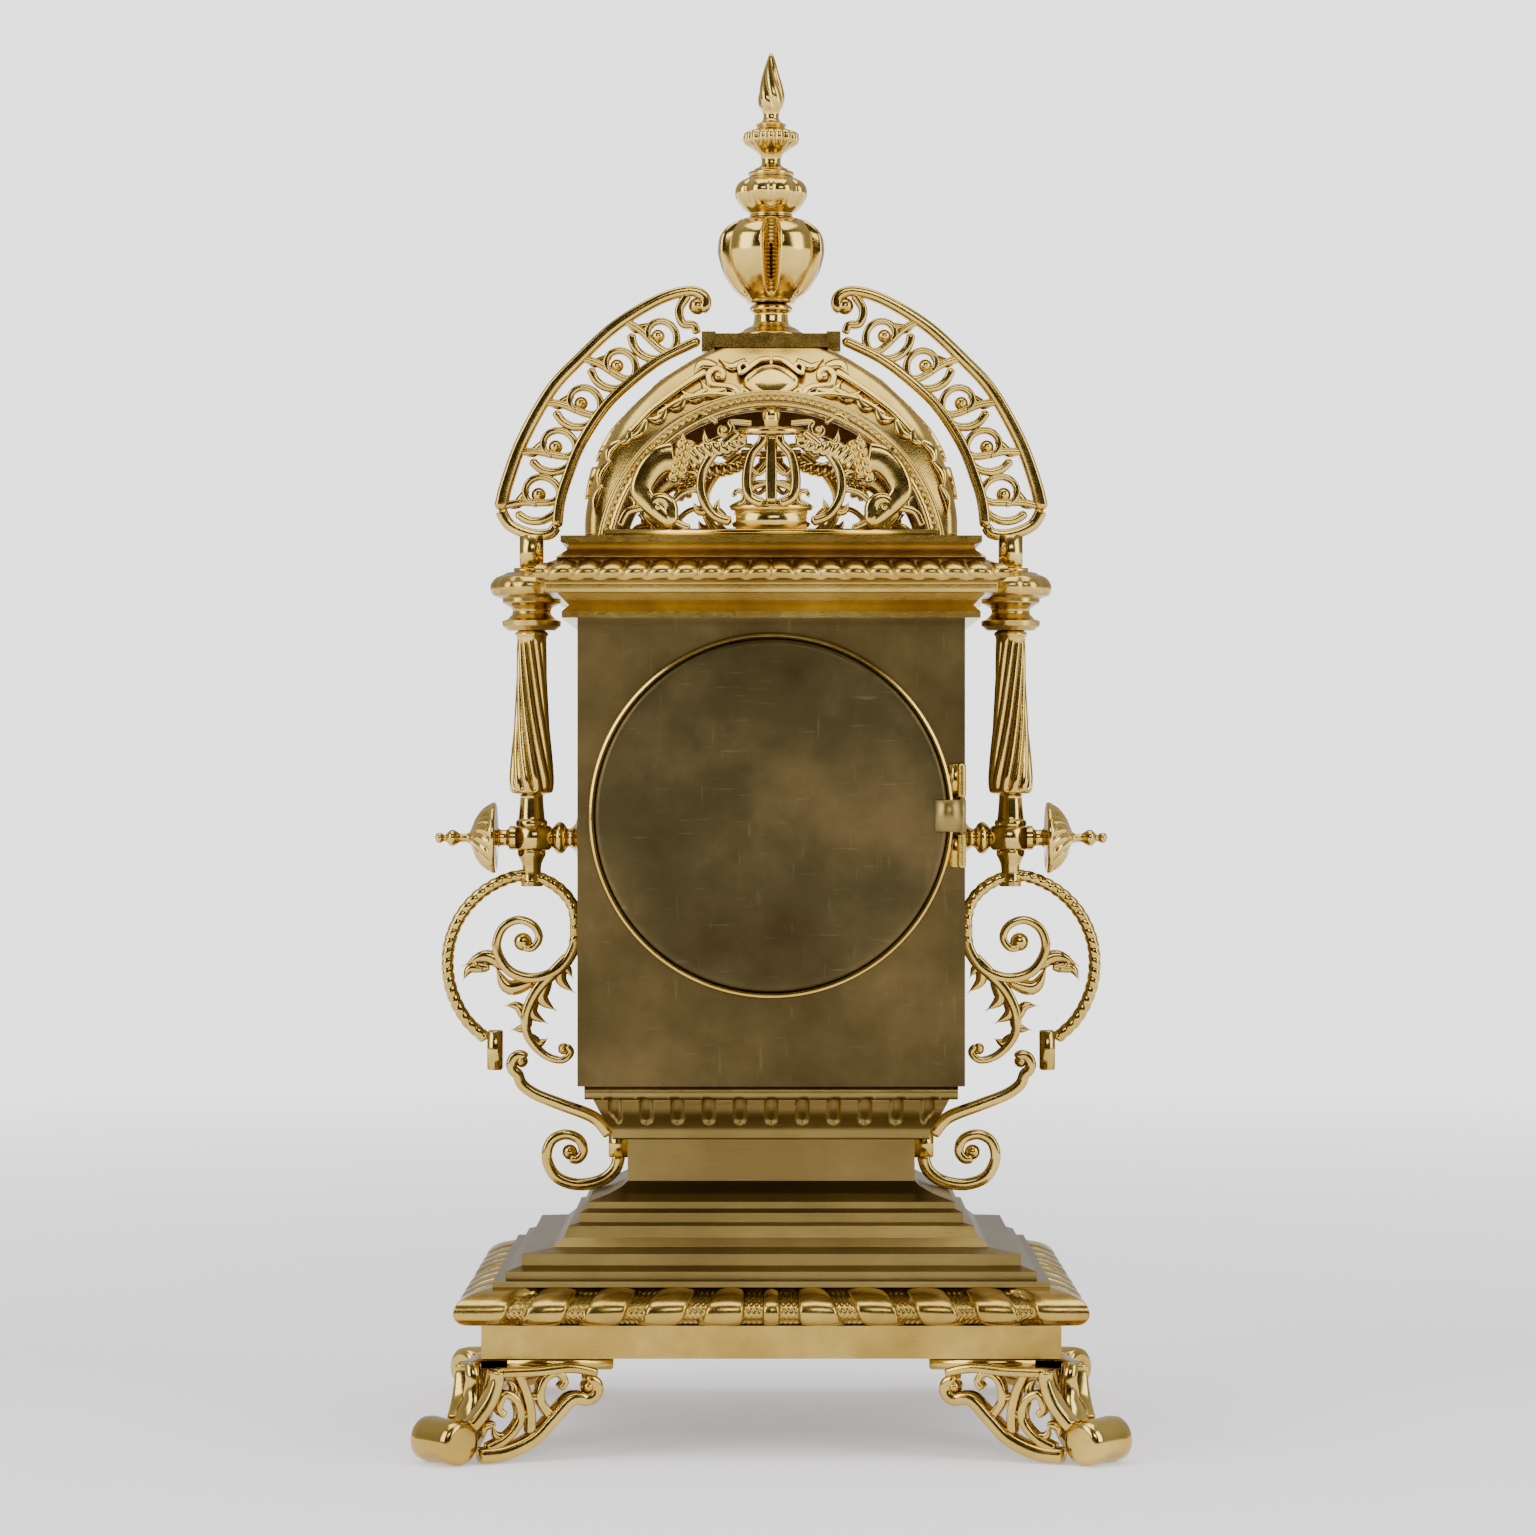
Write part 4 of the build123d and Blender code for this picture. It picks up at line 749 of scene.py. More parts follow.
ring_line = [(-90.9, 122.6), (-97.6, 129.1), (-102.1, 137.9), (-103.5, 147), (-102.1, 156),
             (-97.7, 164.4), (-90.2, 171.2), (-80.3, 175.0), (-71.4, 173.2), (-64.6, 167.4),
             (-62.5, 160), (-62.9, 152.4), (-67.5, 145.4), (-75.5, 142.2), (-83.5, 144.4),
             (-87.7, 151.2), (-86.2, 157.8), (-81.2, 160.8), (-76.2, 159.2), (-74.2, 155.2),
             (-76.4, 151.9), (-79.8, 152.2)]
strand_line = [(-64.4, 149), (-69.0, 144.6), (-75.0, 138.2), (-78.4, 130.5), (-77.6, 123.6),
               (-72.6, 117.8), (-67.0, 116.0), (-64.0, 118.4), (-65.6, 121.0)]
for side, word in ((-1, "left"), (1, "right")):
    place = flip(side)
    ring = Skin(place)
    split = 12
    ribbon(ring, ring_line[:split], 4.2, 4.0, 2.45, 0.16, 3.2, 0.8, 260)
    ribbon(ring, ring_line[split - 2:], 4.0, 2.4, 2.3, count=150)
    ball(ring, -79.4, 153.8, 3.0, 2.45)
    ribbon(ring, strand_line, 4.4, 2.0, 2.2, count=120)
    ball(ring, -66.4, 119.6, 1.9, 2.3)
    leaves(ring, 2.0, 0, (
        (-76, 141, -88.4, 146.4, 5.0, 0.35), (-84, 145, -98.8, 146.0, 4.6, -0.25),
        (-90, 145.6, -95.6, 149.6, 3.4, 0.3), (-92, 145, -98.6, 141.4, 3.2, -0.3),
        (-66.4, 148, -62.8, 137.4, 4.0, -0.25), (-71, 142, -68.6, 131.6, 4.6, -0.35),
        (-75, 137.6, -71.4, 127.6, 4.4, -0.35), (-77.6, 131, -83.4, 125.6, 3.8, 0.3),
        (-77.0, 124, -71.2, 123.0, 3.4, -0.35), (-79, 129, -85.4, 133.4, 3.4, -0.3),
        (-70, 145, -63.4, 142.2, 3.6, 0.3)))
    slab_bar(ring, *sorted((side * 90.7, side * 85.8)), -2.5, 2.5, 112.9, 125.6)
    lathe(ring, crisp((3.5, 171.6), (3.5, 173.0)) + list(through(
        [(3.3, 173.2), (3.0, 175.4), (3.15, 178.4), (3.9, 180.4), (4.5, 181.6), (4.5, 183.2)], 20)),
          (side * -EAR_X, 0, 0), around=64, sharp=True)
    ring.piece("rope_ring_scroll_" + word, "clock_case", gilt_bright, "ring_scroll_" + word)

    low_scroll = Skin(place)
    branch = curl(-79.7, 115.4, 1.4, 4.2, 40, 212, 9) + [(-79.6, 108.2), (-75.2, 105.0), (-66.9, 101.7),
                                                         (-56.6, 97.6), (-51.4, 92.0)]
    ribbon(low_scroll, branch, 3.4, 4.2, 2.45, count=130)
    ball(low_scroll, -79.7, 115.6, 2.0, 2.5)
    curl_line = [(-48.4, 86), (-50.2, 80.8), (-55, 77.3), (-62.4, 76.3), (-68.8, 78.8), (-71.7, 84.6),
                 (-70.4, 90), (-66.2, 92.2), (-61.6, 90.8), (-60.0, 87.2), (-61.8, 84.4), (-64.8, 84.8)]
    ribbon(low_scroll, curl_line, 4.2, 3.0, 2.45, count=130)
    ball(low_scroll, -64.4, 86.6, 2.5, 2.5)
    slab_bar(low_scroll, *sorted((side * 51.9, side * 45.4)), -2.5, 2.5, 85.0, 93.1)
    low_scroll.piece("lower_scroll_cast_" + word, "clock_case", gilt_bright, "lower_scroll_" + word)

    crest = Skin(place)
    outer = [(-86.7, 291.5), (-84.7, 300), (-79.6, 314), (-70.6, 330), (-61.2, 340.3), (-49.8, 350.8),
             (-36.0, 359.2), (-26.4, 361.9), (-21.6, 360.4), (-20.9, 357.2), (-23.0, 355.6)]
    inner = [(-68.6, 286), (-67.6, 294.5), (-65.4, 302), (-61, 313), (-53.2, 325), (-44.5, 333.4),
             (-35.4, 340.2), (-26.6, 344.6), (-22.6, 346.4)]
    ribbon(crest, outer, 4.4, 3.4, 2.6, count=150)
    ribbon(crest, inner, 3.6, 3.2, 2.6, count=120)
    ribbon(crest, [(-86.7, 292), (-83.4, 287.0), (EAR_X, 284.2), (-70.8, 284.4), (-68.6, 287)], 4.0,
           3.6, 2.6)
    ball(crest, -23.6, 357.2, 2.8, 2.7)
    ribbon(crest, [(-26.6, 361), (-29.4, 356), (-28.2, 351.6), (-24.8, 351.0), (-23.6, 348.2)], 3.0,
           2.6, 2.3)
    a_line, b_line = through(outer[:8], 200), through(inner, 200)
    for k in range(5):
        share = (k + 0.55) / 5.35
        a, b = a_line[int(share * 199)], b_line[int(share * 199)]
        centre, reach = (a + b) / 2, np.linalg.norm(a - b) / 2
        heading = degrees(atan2(*(a - b)[::-1]))
        eye = centre - (a - b) * 0.10
        ribbon(crest, curl(eye[0], eye[1], reach * 1.02, reach * 0.30, heading + 60, 420, 16), 2.9, 2.1,
               2.3, count=90)
        ball(crest, eye[0], eye[1], reach * 0.26, 2.2)
        foot_a = a_line[max(0, int((share - 0.085) * 199))]
        foot_b = b_line[min(199, int((share + 0.080) * 199))]
        ribbon(crest, [foot_a, foot_a * 0.55 + eye * 0.45 + (b - a) * 0.05, eye + (b - a) * 0.30,
                       foot_b], 2.5, 2.5, 2.2)
        leaf(crest, eye + (a - b) * 0.22, foot_a, 3.4, 2.0, 0.2)
    slab_bar(crest, *sorted((side * (-EAR_X - 3.7), side * (-EAR_X + 3.7))), -3, 3, 272.9, 284.4, 0.9)
    slab_bar(crest, *sorted((side * (-EAR_X - 5.6), side * (-EAR_X + 5.6))), -3, 3, 272.0, 273.4, 0.4)
    crest.piece("pierced_crest_" + word, "clock_case", gilt_bright, "crest_" + word)

# ---- Front and rear lunettes ----
# Each arch of the dome is filled by one pierced casting: an urn on a table in the middle and a
# ringed horn on each side, with scrolls between. A row of raised pearls follows the arch.


def open_tree(name, *floats):
    """A node group with named number inputs and a metal, and short ways to add and tie nodes."""
    tree = bpy.data.node_groups.new(name, "GeometryNodeTree")
    tree.interface.new_socket("Geometry", in_out="INPUT", socket_type="NodeSocketGeometry")
    for label in floats:
        tree.interface.new_socket(label, in_out="INPUT", socket_type="NodeSocketFloat")
    tree.interface.new_socket("Metal", in_out="INPUT", socket_type="NodeSocketMaterial")
    tree.interface.new_socket("Geometry", in_out="OUTPUT", socket_type="NodeSocketGeometry")
    return tree, tree.nodes.new, tree.links.new, tree.nodes.new("NodeGroupInput")


def close_tree(tree, source, instances):
    """Realize the instances, give them their metal and hand them out."""
    add, tie = tree.nodes.new, tree.links.new
    real, metal = add("GeometryNodeRealizeInstances"), add("GeometryNodeSetMaterial")
    tie(instances, real.inputs["Geometry"])
    tie(real.outputs["Geometry"], metal.inputs["Geometry"])
    tie(source.outputs["Metal"], metal.inputs["Material"])
    tie(metal.outputs["Geometry"], add("NodeGroupOutput").inputs["Geometry"])
    return tree


def pearl_tree(name, squash):
    """A node group that threads round pearls along a curve."""
    tree, add, tie, source = open_tree(name, "Spacing", "Radius")
    curve, even = add("GeometryNodeMeshToCurve"), add("GeometryNodeResampleCurve")
    even.mode = "LENGTH"
    pearl, spots = add("GeometryNodeMeshUVSphere"), add("GeometryNodeInstanceOnPoints")
    pearl.inputs["Segments"].default_value = 14
    pearl.inputs["Rings"].default_value = 9
    spots.inputs["Scale"].default_value = squash
    tie(source.outputs["Geometry"], curve.inputs["Mesh"])
    tie(curve.outputs["Curve"], even.inputs["Curve"])
    tie(source.outputs["Spacing"], even.inputs["Length"])
    tie(source.outputs["Radius"], pearl.inputs["Radius"])
    tie(even.outputs["Curve"], spots.inputs["Points"])
    tie(pearl.outputs["Mesh"], spots.inputs["Instance"])
    return close_tree(tree, source, spots.outputs["Instances"])


def grown(name, lines, tree, settings, body):
    """Run a node group over lines of points in millimetres and keep the plain mesh it makes."""
    mesh = bpy.data.meshes.new(name + "_lines")
    points, edges = [], []
    for line in lines:
        edges += [(len(points) + i, len(points) + i + 1) for i in range(len(line) - 1)]
        points += [tuple(c * MM for c in point) for point in line]
    mesh.from_pydata(points, edges, [])
    carrier = bpy.data.objects.new(name + "_lines", mesh)
    scene.collection.objects.link(carrier)
    modifier = carrier.modifiers.new("grow", "NODES")
    modifier.node_group = tree
    for item in tree.interface.items_tree:
        if item.in_out == "INPUT" and item.name in settings:
            modifier[item.identifier] = settings[item.name]
    settled = carrier.evaluated_get(bpy.context.evaluated_depsgraph_get())
    plain = bpy.data.meshes.new_from_object(settled)
    carrier.modifiers.remove(modifier)
    bpy.data.objects.remove(carrier)
    for face in plain.polygons:
        face.use_smooth = True
    made = bpy.data.objects.new(name, plain)
    scene.collection.objects.link(made)
    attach(made, body)
    return made


pearls = pearl_tree("pearls_on_curve", (1.0, 0.8, 1.0))
dome_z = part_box("dome_shell")[0][2] / MM
ARCH_Z = dome_z - 9.4
ARCH_IN, ARCH_OUT = 49.6, 54.6


def shifted(side, y):
    """Place for the left or right half of a casting that stands at a given depth."""
    return lambda rows: rows * np.array([-side, 1.0, 1.0]) + np.array([0.0, y, 0.0])


def up(*points):
    """Points given over the dome's foot."""
    return [(x, dome_z + z) for x, z in points]


for word, middle_y, face in (("rear", -44.0, -1), ("front", 44.0, 1)):
    lunette = Skin()
    section = [(ARCH_IN, -1.45), (ARCH_IN, 0.9), (ARCH_IN + 0.5, 1.45), (ARCH_IN + 1.3, 1.45),
               (ARCH_IN + 1.7, 0.85), (ARCH_OUT - 1.4, 0.85), (ARCH_OUT - 1.1, 1.45),
               (ARCH_OUT - 0.4, 1.45), (ARCH_OUT, 0.9), (ARCH_OUT, -1.45)]
    turn = np.radians(np.linspace(9.0, 171.0, 150))
    rows = np.zeros((150, len(section), 3))
    for k, (r, y) in enumerate(section):
        rows[:, k] = np.column_stack([r * np.cos(turn), np.full(150, middle_y + face * y),
                                      np.maximum(ARCH_Z + r * np.sin(turn), dome_z)])
    lunette.grid(rows, around=True, capped=True)
    for wide, deep, z0, z1, ease in ((51.4, 1.5, 0.0, 2.4, 0.4), (12.4, 1.5, 8.0, 10.0, 0.4),
                                     (11.0, 1.2, 2.2, 8.2, 0.4), (10.0, 1.5, 31.4, 33.8, 0.4),
                                     (2.2, 1.3, 33.4, 39.6, 0.6)):
        slab_bar(lunette, -wide, wide, middle_y - deep, middle_y + deep, dome_z + z0, dome_z + z1, ease)
    ball(lunette, 0, dome_z + 37.6, 2.9, 1.45, y=middle_y)
    for side in (-1, 1):
        lunette.place = shifted(side, middle_y)
        ribbon(lunette, up((-2.4, 10.0), (-6.6, 12.2), (-7.6, 18.0), (-6.2, 25.0), (-3.0, 29.0),
                           (-2.6, 31.6)), 3.4, 2.8, 2.6)
        ribbon(lunette, up((-0.4, 10.0), (-0.6, 20.0), (-0.4, 31.6)), 2.6, 2.2, 1.4)
        ribbon(lunette, up((-1.0, 22.0), (-4.0, 19.4), (-6.6, 21.4)), 1.8, 1.4, 1.3)
        leaf(lunette, (-1.0, dome_z + 16.6), (-6.8, dome_z + 10.6), 2.8, 1.3, -0.3)
        ribbon(lunette, curl(-35.0, dome_z + 8.8, 1.2, 4.4, 250, -300, 12) +
               up((-39.8, 13.0), (-38.6, 19.0), (-34.4, 23.6), (-29.6, 24.6)), 3.0, 9.4, 3.0, count=130)
        ball(lunette, -35.0, dome_z + 8.8, 2.2, 3.2)
        ribbon(lunette, up((-30.8, 16.6), (-27.2, 30.4)), 4.0, 4.0, 3.4, 0.22, 2.6, 0.8, 60)
        ribbon(lunette, up((-28.0, 17.6), (-24.8, 29.8)), 3.4, 3.4, 3.0, 0.22, 2.2, 0.8, 60)
        ribbon(lunette, up((-26.0, 23.6), (-19.6, 26.6), (-13.6, 27.4), (-9.6, 28.8), (-8.6, 31.6)),
               7.4, 3.0, 2.6, 0.2, 2.4, count=110)
        ribbon(lunette, up((-9.8, 32.6), (-17.4, 26.0), (-21.4, 19.4), (-21.4, 12.4), (-17.8, 6.6),
                           (-12.2, 4.4)), 2.6, 3.2, 2.2)
        ribbon(lunette, curl(-14.6, dome_z + 33.0, 0.9, 2.9, 120, 290, 9) +
               up((-10.4, 35.4), (-6.0, 35.0)), 1.6, 1.8, 1.4)
        ball(lunette, -14.6, dome_z + 33.0, 1.3, 1.45)
        ribbon(lunette, curl(-10.4, dome_z + 12.6, 0.8, 2.6, 200, -290, 9) + up((-12.8, 8.6)), 1.5, 1.7,
               1.35)
        ribbon(lunette, up((-21.2, 15.0), (-27.4, 13.4), (-30.8, 9.6), (-30.0, 5.0), (-25.0, 2.4)), 1.8,
               2.2, 1.35)
        ribbon(lunette, up((-39.0, 9.0), (-44.4, 7.6), (-47.0, 3.0)), 2.6, 2.2, 1.4)
        ribbon(lunette, up((-35.4, 24.0), (-38.4, 27.4)), 3.0, 2.2, 1.35)
        ribbon(lunette, up((-16.6, 35.2), (-20.6, 37.4), (-24.0, 34.8)), 1.8, 2.2, 1.3)
        leaves(lunette, 1.3, dome_z, (
            (-22, 27, -27.6, 33.0, 3.2, 0.3), (-16, 28, -20.8, 33.2, 2.8, 0.3),
            (-21.4, 17, -26.8, 19.8, 3.0, -0.3), (-19, 8, -24.2, 10.8, 2.8, 0.3),
            (-36, 22, -41.0, 25.6, 3.0, -0.3), (-39, 16, -43.4, 18.2, 3.0, -0.3),
            (-14, 6, -16.0, 12.0, 2.6, 0.3), (-42, 8, -44.6, 12.6, 2.8, -0.3)))
    lunette.piece("pierced_lunette_" + word, "clock_case", gilt_bright, "lunette_" + word)
    run = [((ARCH_IN + 2.6) * cos(a), middle_y + face * 0.7, ARCH_Z + (ARCH_IN + 2.6) * sin(a))
           for a in np.radians(np.linspace(12.5, 167.5, 160))]
    grown("arch_pearls_" + word, [run], pearls, {"Spacing": 2.3 * MM, "Radius": 0.85 * MM,
                                                 "Metal": gilt_bright}, "clock_case")

# ---- Dome ----
# A hollow four-sided bell cast in brass and gilt, open under an arch on every side. Acanthus and
# a blank cartouche stand in relief over the arches; a plate with a tab at each end closes it.

dome_steps = through([(58.0, 42.0, 0.0), (57.7, 41.7, 8.0), (55.4, 39.8, 19.0), (51.2, 36.6, 30.6),
                      (45.2, 32.0, 39.6), (36.0, 26.0, 49.4), (25.8, 20.2, 57.0), (18.2, 16.0, 61.5)],
                     60)


def dome_ring(hx, hy, z, count):
    """One level of the bell: a rectangle with softly rounded corners, evenly divided."""
    ease = 5.0
    corners = []
    for sx, sy, start in ((1, 1, 0), (-1, 1, 90), (-1, -1, 180), (1, -1, 270)):
        for a in np.radians(np.linspace(start, start + 90, 9)):
            corners.append((sx * (hx - ease) + ease * cos(a), sy * (hy - ease) + ease * sin(a)))
    loop = np.array(corners + corners[:1])
    reach = np.concatenate([[0], np.cumsum(np.linalg.norm(np.diff(loop, axis=0), axis=1))])
    at = np.linspace(0, reach[-1], count, endpoint=False)
    return np.column_stack([np.interp(at, reach, loop[:, 0]), np.interp(at, reach, loop[:, 1]),
                            np.full(count, dome_z + z)])


def closed_solid(skin, name):
    """An object from a closed skin, welded and with its faces turned outwards."""
    mesh = bpy.data.meshes.new(name)
    mesh.from_pydata((np.vstack(skin.points) * MM).tolist(), [], skin.faces)
    work = bmesh.new()
    work.from_mesh(mesh)
    bmesh.ops.remove_doubles(work, verts=work.verts, dist=0.000002)
    bmesh.ops.recalc_face_normals(work, faces=work.faces)
    work.to_mesh(mesh)
    work.free()
    made = bpy.data.objects.new(name, mesh)
    scene.collection.objects.link(made)
    return made


def cutter(radius, length, z, axis):
    """A bar that opens one pair of arches."""
    bar = Skin()
    a = np.linspace(0, 2 * pi, 128, endpoint=False)
    rows = np.zeros((2, 128, 3))
    for k, end in enumerate((-length, length)):
        rows[k, :, axis] = end
        rows[k, :, 1 - axis] = radius * np.cos(a)
        rows[k, :, 2] = z + radius * np.sin(a)
    return closed_solid(bar.grid(rows, around=True, capped=True), "arch_cutter")


bell_skin = Skin()
outer = [dome_ring(hx, hy, z, 240) for hx, hy, z in dome_steps]
inner = [dome_ring(hx - 2.5, hy - 2.5, max(0.0, z - 2.5), 240) for hx, hy, z in dome_steps]
bell_skin.grid(np.array(outer + inner[::-1] + outer[:1]), around=True)
shell_object = closed_solid(bell_skin, "dome_solid")
cutters = [cutter(ARCH_IN, 60, ARCH_Z, 1), cutter(34.0, 70, dome_z - 4.0, 0)]
for tool in cutters:
    cut = shell_object.modifiers.new("cut", "BOOLEAN")
    cut.operation, cut.solver, cut.object = "DIFFERENCE", "EXACT", tool
settled = shell_object.evaluated_get(bpy.context.evaluated_depsgraph_get())
opened = bpy.data.meshes.new_from_object(settled)
for tool in cutters + [shell_object]:
    bpy.data.objects.remove(tool)
finish_piece(opened, "dome_bell", "clock_case", gilt_cast, ["dome_shell"])


def draped(side, front, rise=0.5, across=False):
    """Place that lays a flat casting on one face of the dome."""
    def place(rows):
        laid = rows.copy()
        level = np.clip(rows[..., 2] - dome_z, 0, 61.5)
        depth = np.interp(level, dome_steps[:, 2], dome_steps[:, 0 if across else 1])
        flat, deep = rows[..., 0] * -side, front * (depth + rise + rows[..., 1] * front)
        laid[..., 0], laid[..., 1] = (deep, flat) if across else (flat, deep)
        return laid
    return place


relief = Skin()
for front in (-1, 1):
    for side in (-1, 1):
        relief.place = draped(side, front)
        ribbon(relief, curl(-16.6, dome_z + 51.6, 1.0, 3.6, 300, 300, 10) + up((-12.4, 47.6),
                                                                               (-9.6, 44.6)), 2.0, 2.4,
               1.2)
        ball(relief, -16.6, dome_z + 51.6, 1.6, 1.4)
        ribbon(relief, up((-20.0, 53.4), (-26.0, 49.4), (-32.4, 44.4), (-38.6, 39.0), (-44.4, 32.0)),
               2.2, 1.8, 1.2)
        ribbon(relief, up((-10.4, 45.0), (-19.6, 45.4), (-28.4, 43.4), (-36.0, 38.4)), 2.0, 1.6, 1.1)
        leaves(relief, 1.25, dome_z, (
            (-14, 47, -22.4, 50.4, 4.2, 0.3), (-20, 47, -28.6, 46.8, 3.8, 0.3),
            (-27, 45, -34.0, 42.0, 3.6, 0.3), (-33, 41, -39.4, 37.4, 3.4, 0.3),
            (-39, 37, -45.6, 30.6, 3.2, 0.2), (-17, 55, -24.6, 51.6, 3.6, -0.3),
            (-47, 30, -50.6, 22.4, 3.4, -0.2), (-50, 24, -53.4, 14.4, 3.2, -0.15),
            (-52.4, 16, -54.6, 6.4, 3.0, -0.1), (-8, 57, -16.6, 57.4, 3.0, 0.3),
            (-44, 34, -48.0, 29.0, 2.8, 0.3)))
    for side in (-1, 1):
        relief.place = draped(side, front, across=True)
        ribbon(relief, up((-3.0, 40.0), (-9.6, 45.6), (-14.0, 40.6), (-20.4, 36.0), (-26.4, 28.0)), 2.4,
               1.8, 1.2)
        ribbon(relief, curl(-7.6, dome_z + 50.6, 0.9, 3.2, 250, 290, 10) + up((-2.6, 45.0), ), 1.8, 2.2,
               1.2)
        leaves(relief, 1.25, dome_z, (
            (0, 36, -2.6, 49.0, 5.0, 0.1), (-8, 40, -14.4, 47.6, 4.0, -0.2),
            (-16, 38, -20.0, 42.6, 3.6, -0.2), (-22, 34, -26.4, 36.0, 3.4, -0.2),
            (-27, 28, -32.4, 24.0, 3.4, -0.2), (-31, 22, -35.6, 12.0, 3.2, -0.1)))
relief.piece("dome_acanthus", "clock_case", gilt_bright)

SHIELD_LEVELS = ((1.0, -2.6), (1.0, 0.6), (0.93, 1.3), (0.86, 1.1), (0.80, 0.5), (0.60, 0.9), (0.3, 1.3),
                 (0.02, 1.4))
shields = Skin()
for front in (-1, 1):
    lay = draped(1, front, 1.6)
    angles = np.linspace(0, 2 * pi, 64, endpoint=False)
    rows = []
    for share, lift in SHIELD_LEVELS:
        wave = 1.0 + 0.07 * np.cos(4 * angles) - 0.05 * np.abs(np.cos(2 * angles))
        rows.append(np.column_stack([share * 8.6 * wave * np.cos(angles), np.full(64, front * lift),
                                     dome_z + 49.6 + share * 5.6 * wave * np.sin(angles)]))
    shields.grid(lay(np.array(rows)), around=True, capped=True)
    for side in (-1, 1):
        shields.place = draped(side, front, 2.0)
        ribbon(shields, curl(-8.4, dome_z + 54.4, 0.7, 2.1, 330, 280, 9) + up((-4.0, 56.6),
                                                                              (-0.2, 57.4)), 1.4, 1.8,
               1.3)
        ribbon(shields, curl(-7.8, dome_z + 44.8, 0.7, 1.9, 30, -280, 9) + up((-3.8, 43.4),
                                                                              (-0.2, 43.0)), 1.3, 1.7,
               1.2)
shields.piece("blank_cartouches", "clock_case", gilt_bright)

# ---- Feet ----
# Each foot is one casting: two pierced scroll wings under the apron that meet in a rolled toe
# across the corner. Flat pads along the wings' top edges meet the underside of the apron.

BASE_X, BASE_Y = 88.0, 71.0
WEB_IN = 3.0
TOE = (98.4, 82.0)
FOOT_LEAVES = (((0.60, 13), (0.53, 19.6), 3.0, 0.3), ((0.66, 8), (0.80, 11.6), 3.2, -0.3),
               ((0.45, 19), (0.54, 22.6), 2.8, -0.3), ((0.64, 19), (0.70, 25.4), 3.0, 0.2),
               ((0.36, 14), (0.28, 18.8), 2.6, 0.3), ((0.78, 12), (0.86, 8.0), 3.0, 0.3))
TOE_ROLL = ((-8.8, 4.6), (-8.6, 5.8), (-7.6, 6.7), (-5.0, 6.95), (0.0, 6.6), (5.0, 6.95),
            (7.6, 6.7), (8.6, 5.8), (8.8, 4.6))
ARRIS = ((2.2, 4.0, 29.4), (2.4, 3.0, 24.0), (3.2, 3.4, 18.4), (5.4, 6.2, 13.0), (7.4, 9.4, 8.8))


def wing_place(x0, y0, x1, y1, sx, sy):
    """Place that stands a flat scroll on a foot's wing."""
    run = sqrt((x1 - x0) ** 2 + (y1 - y0) ** 2)
    along, across = ((x1 - x0) / run, (y1 - y0) / run), (-(y1 - y0) / run, (x1 - x0) / run)

    def place(rows):
        laid = rows.copy()
        u, v = rows[..., 0], rows[..., 1]
        laid[..., 0] = -sx * (x0 + u * along[0] + v * across[0])
        laid[..., 1] = -sy * (y0 + u * along[1] + v * across[1])
        return laid
    return place, run


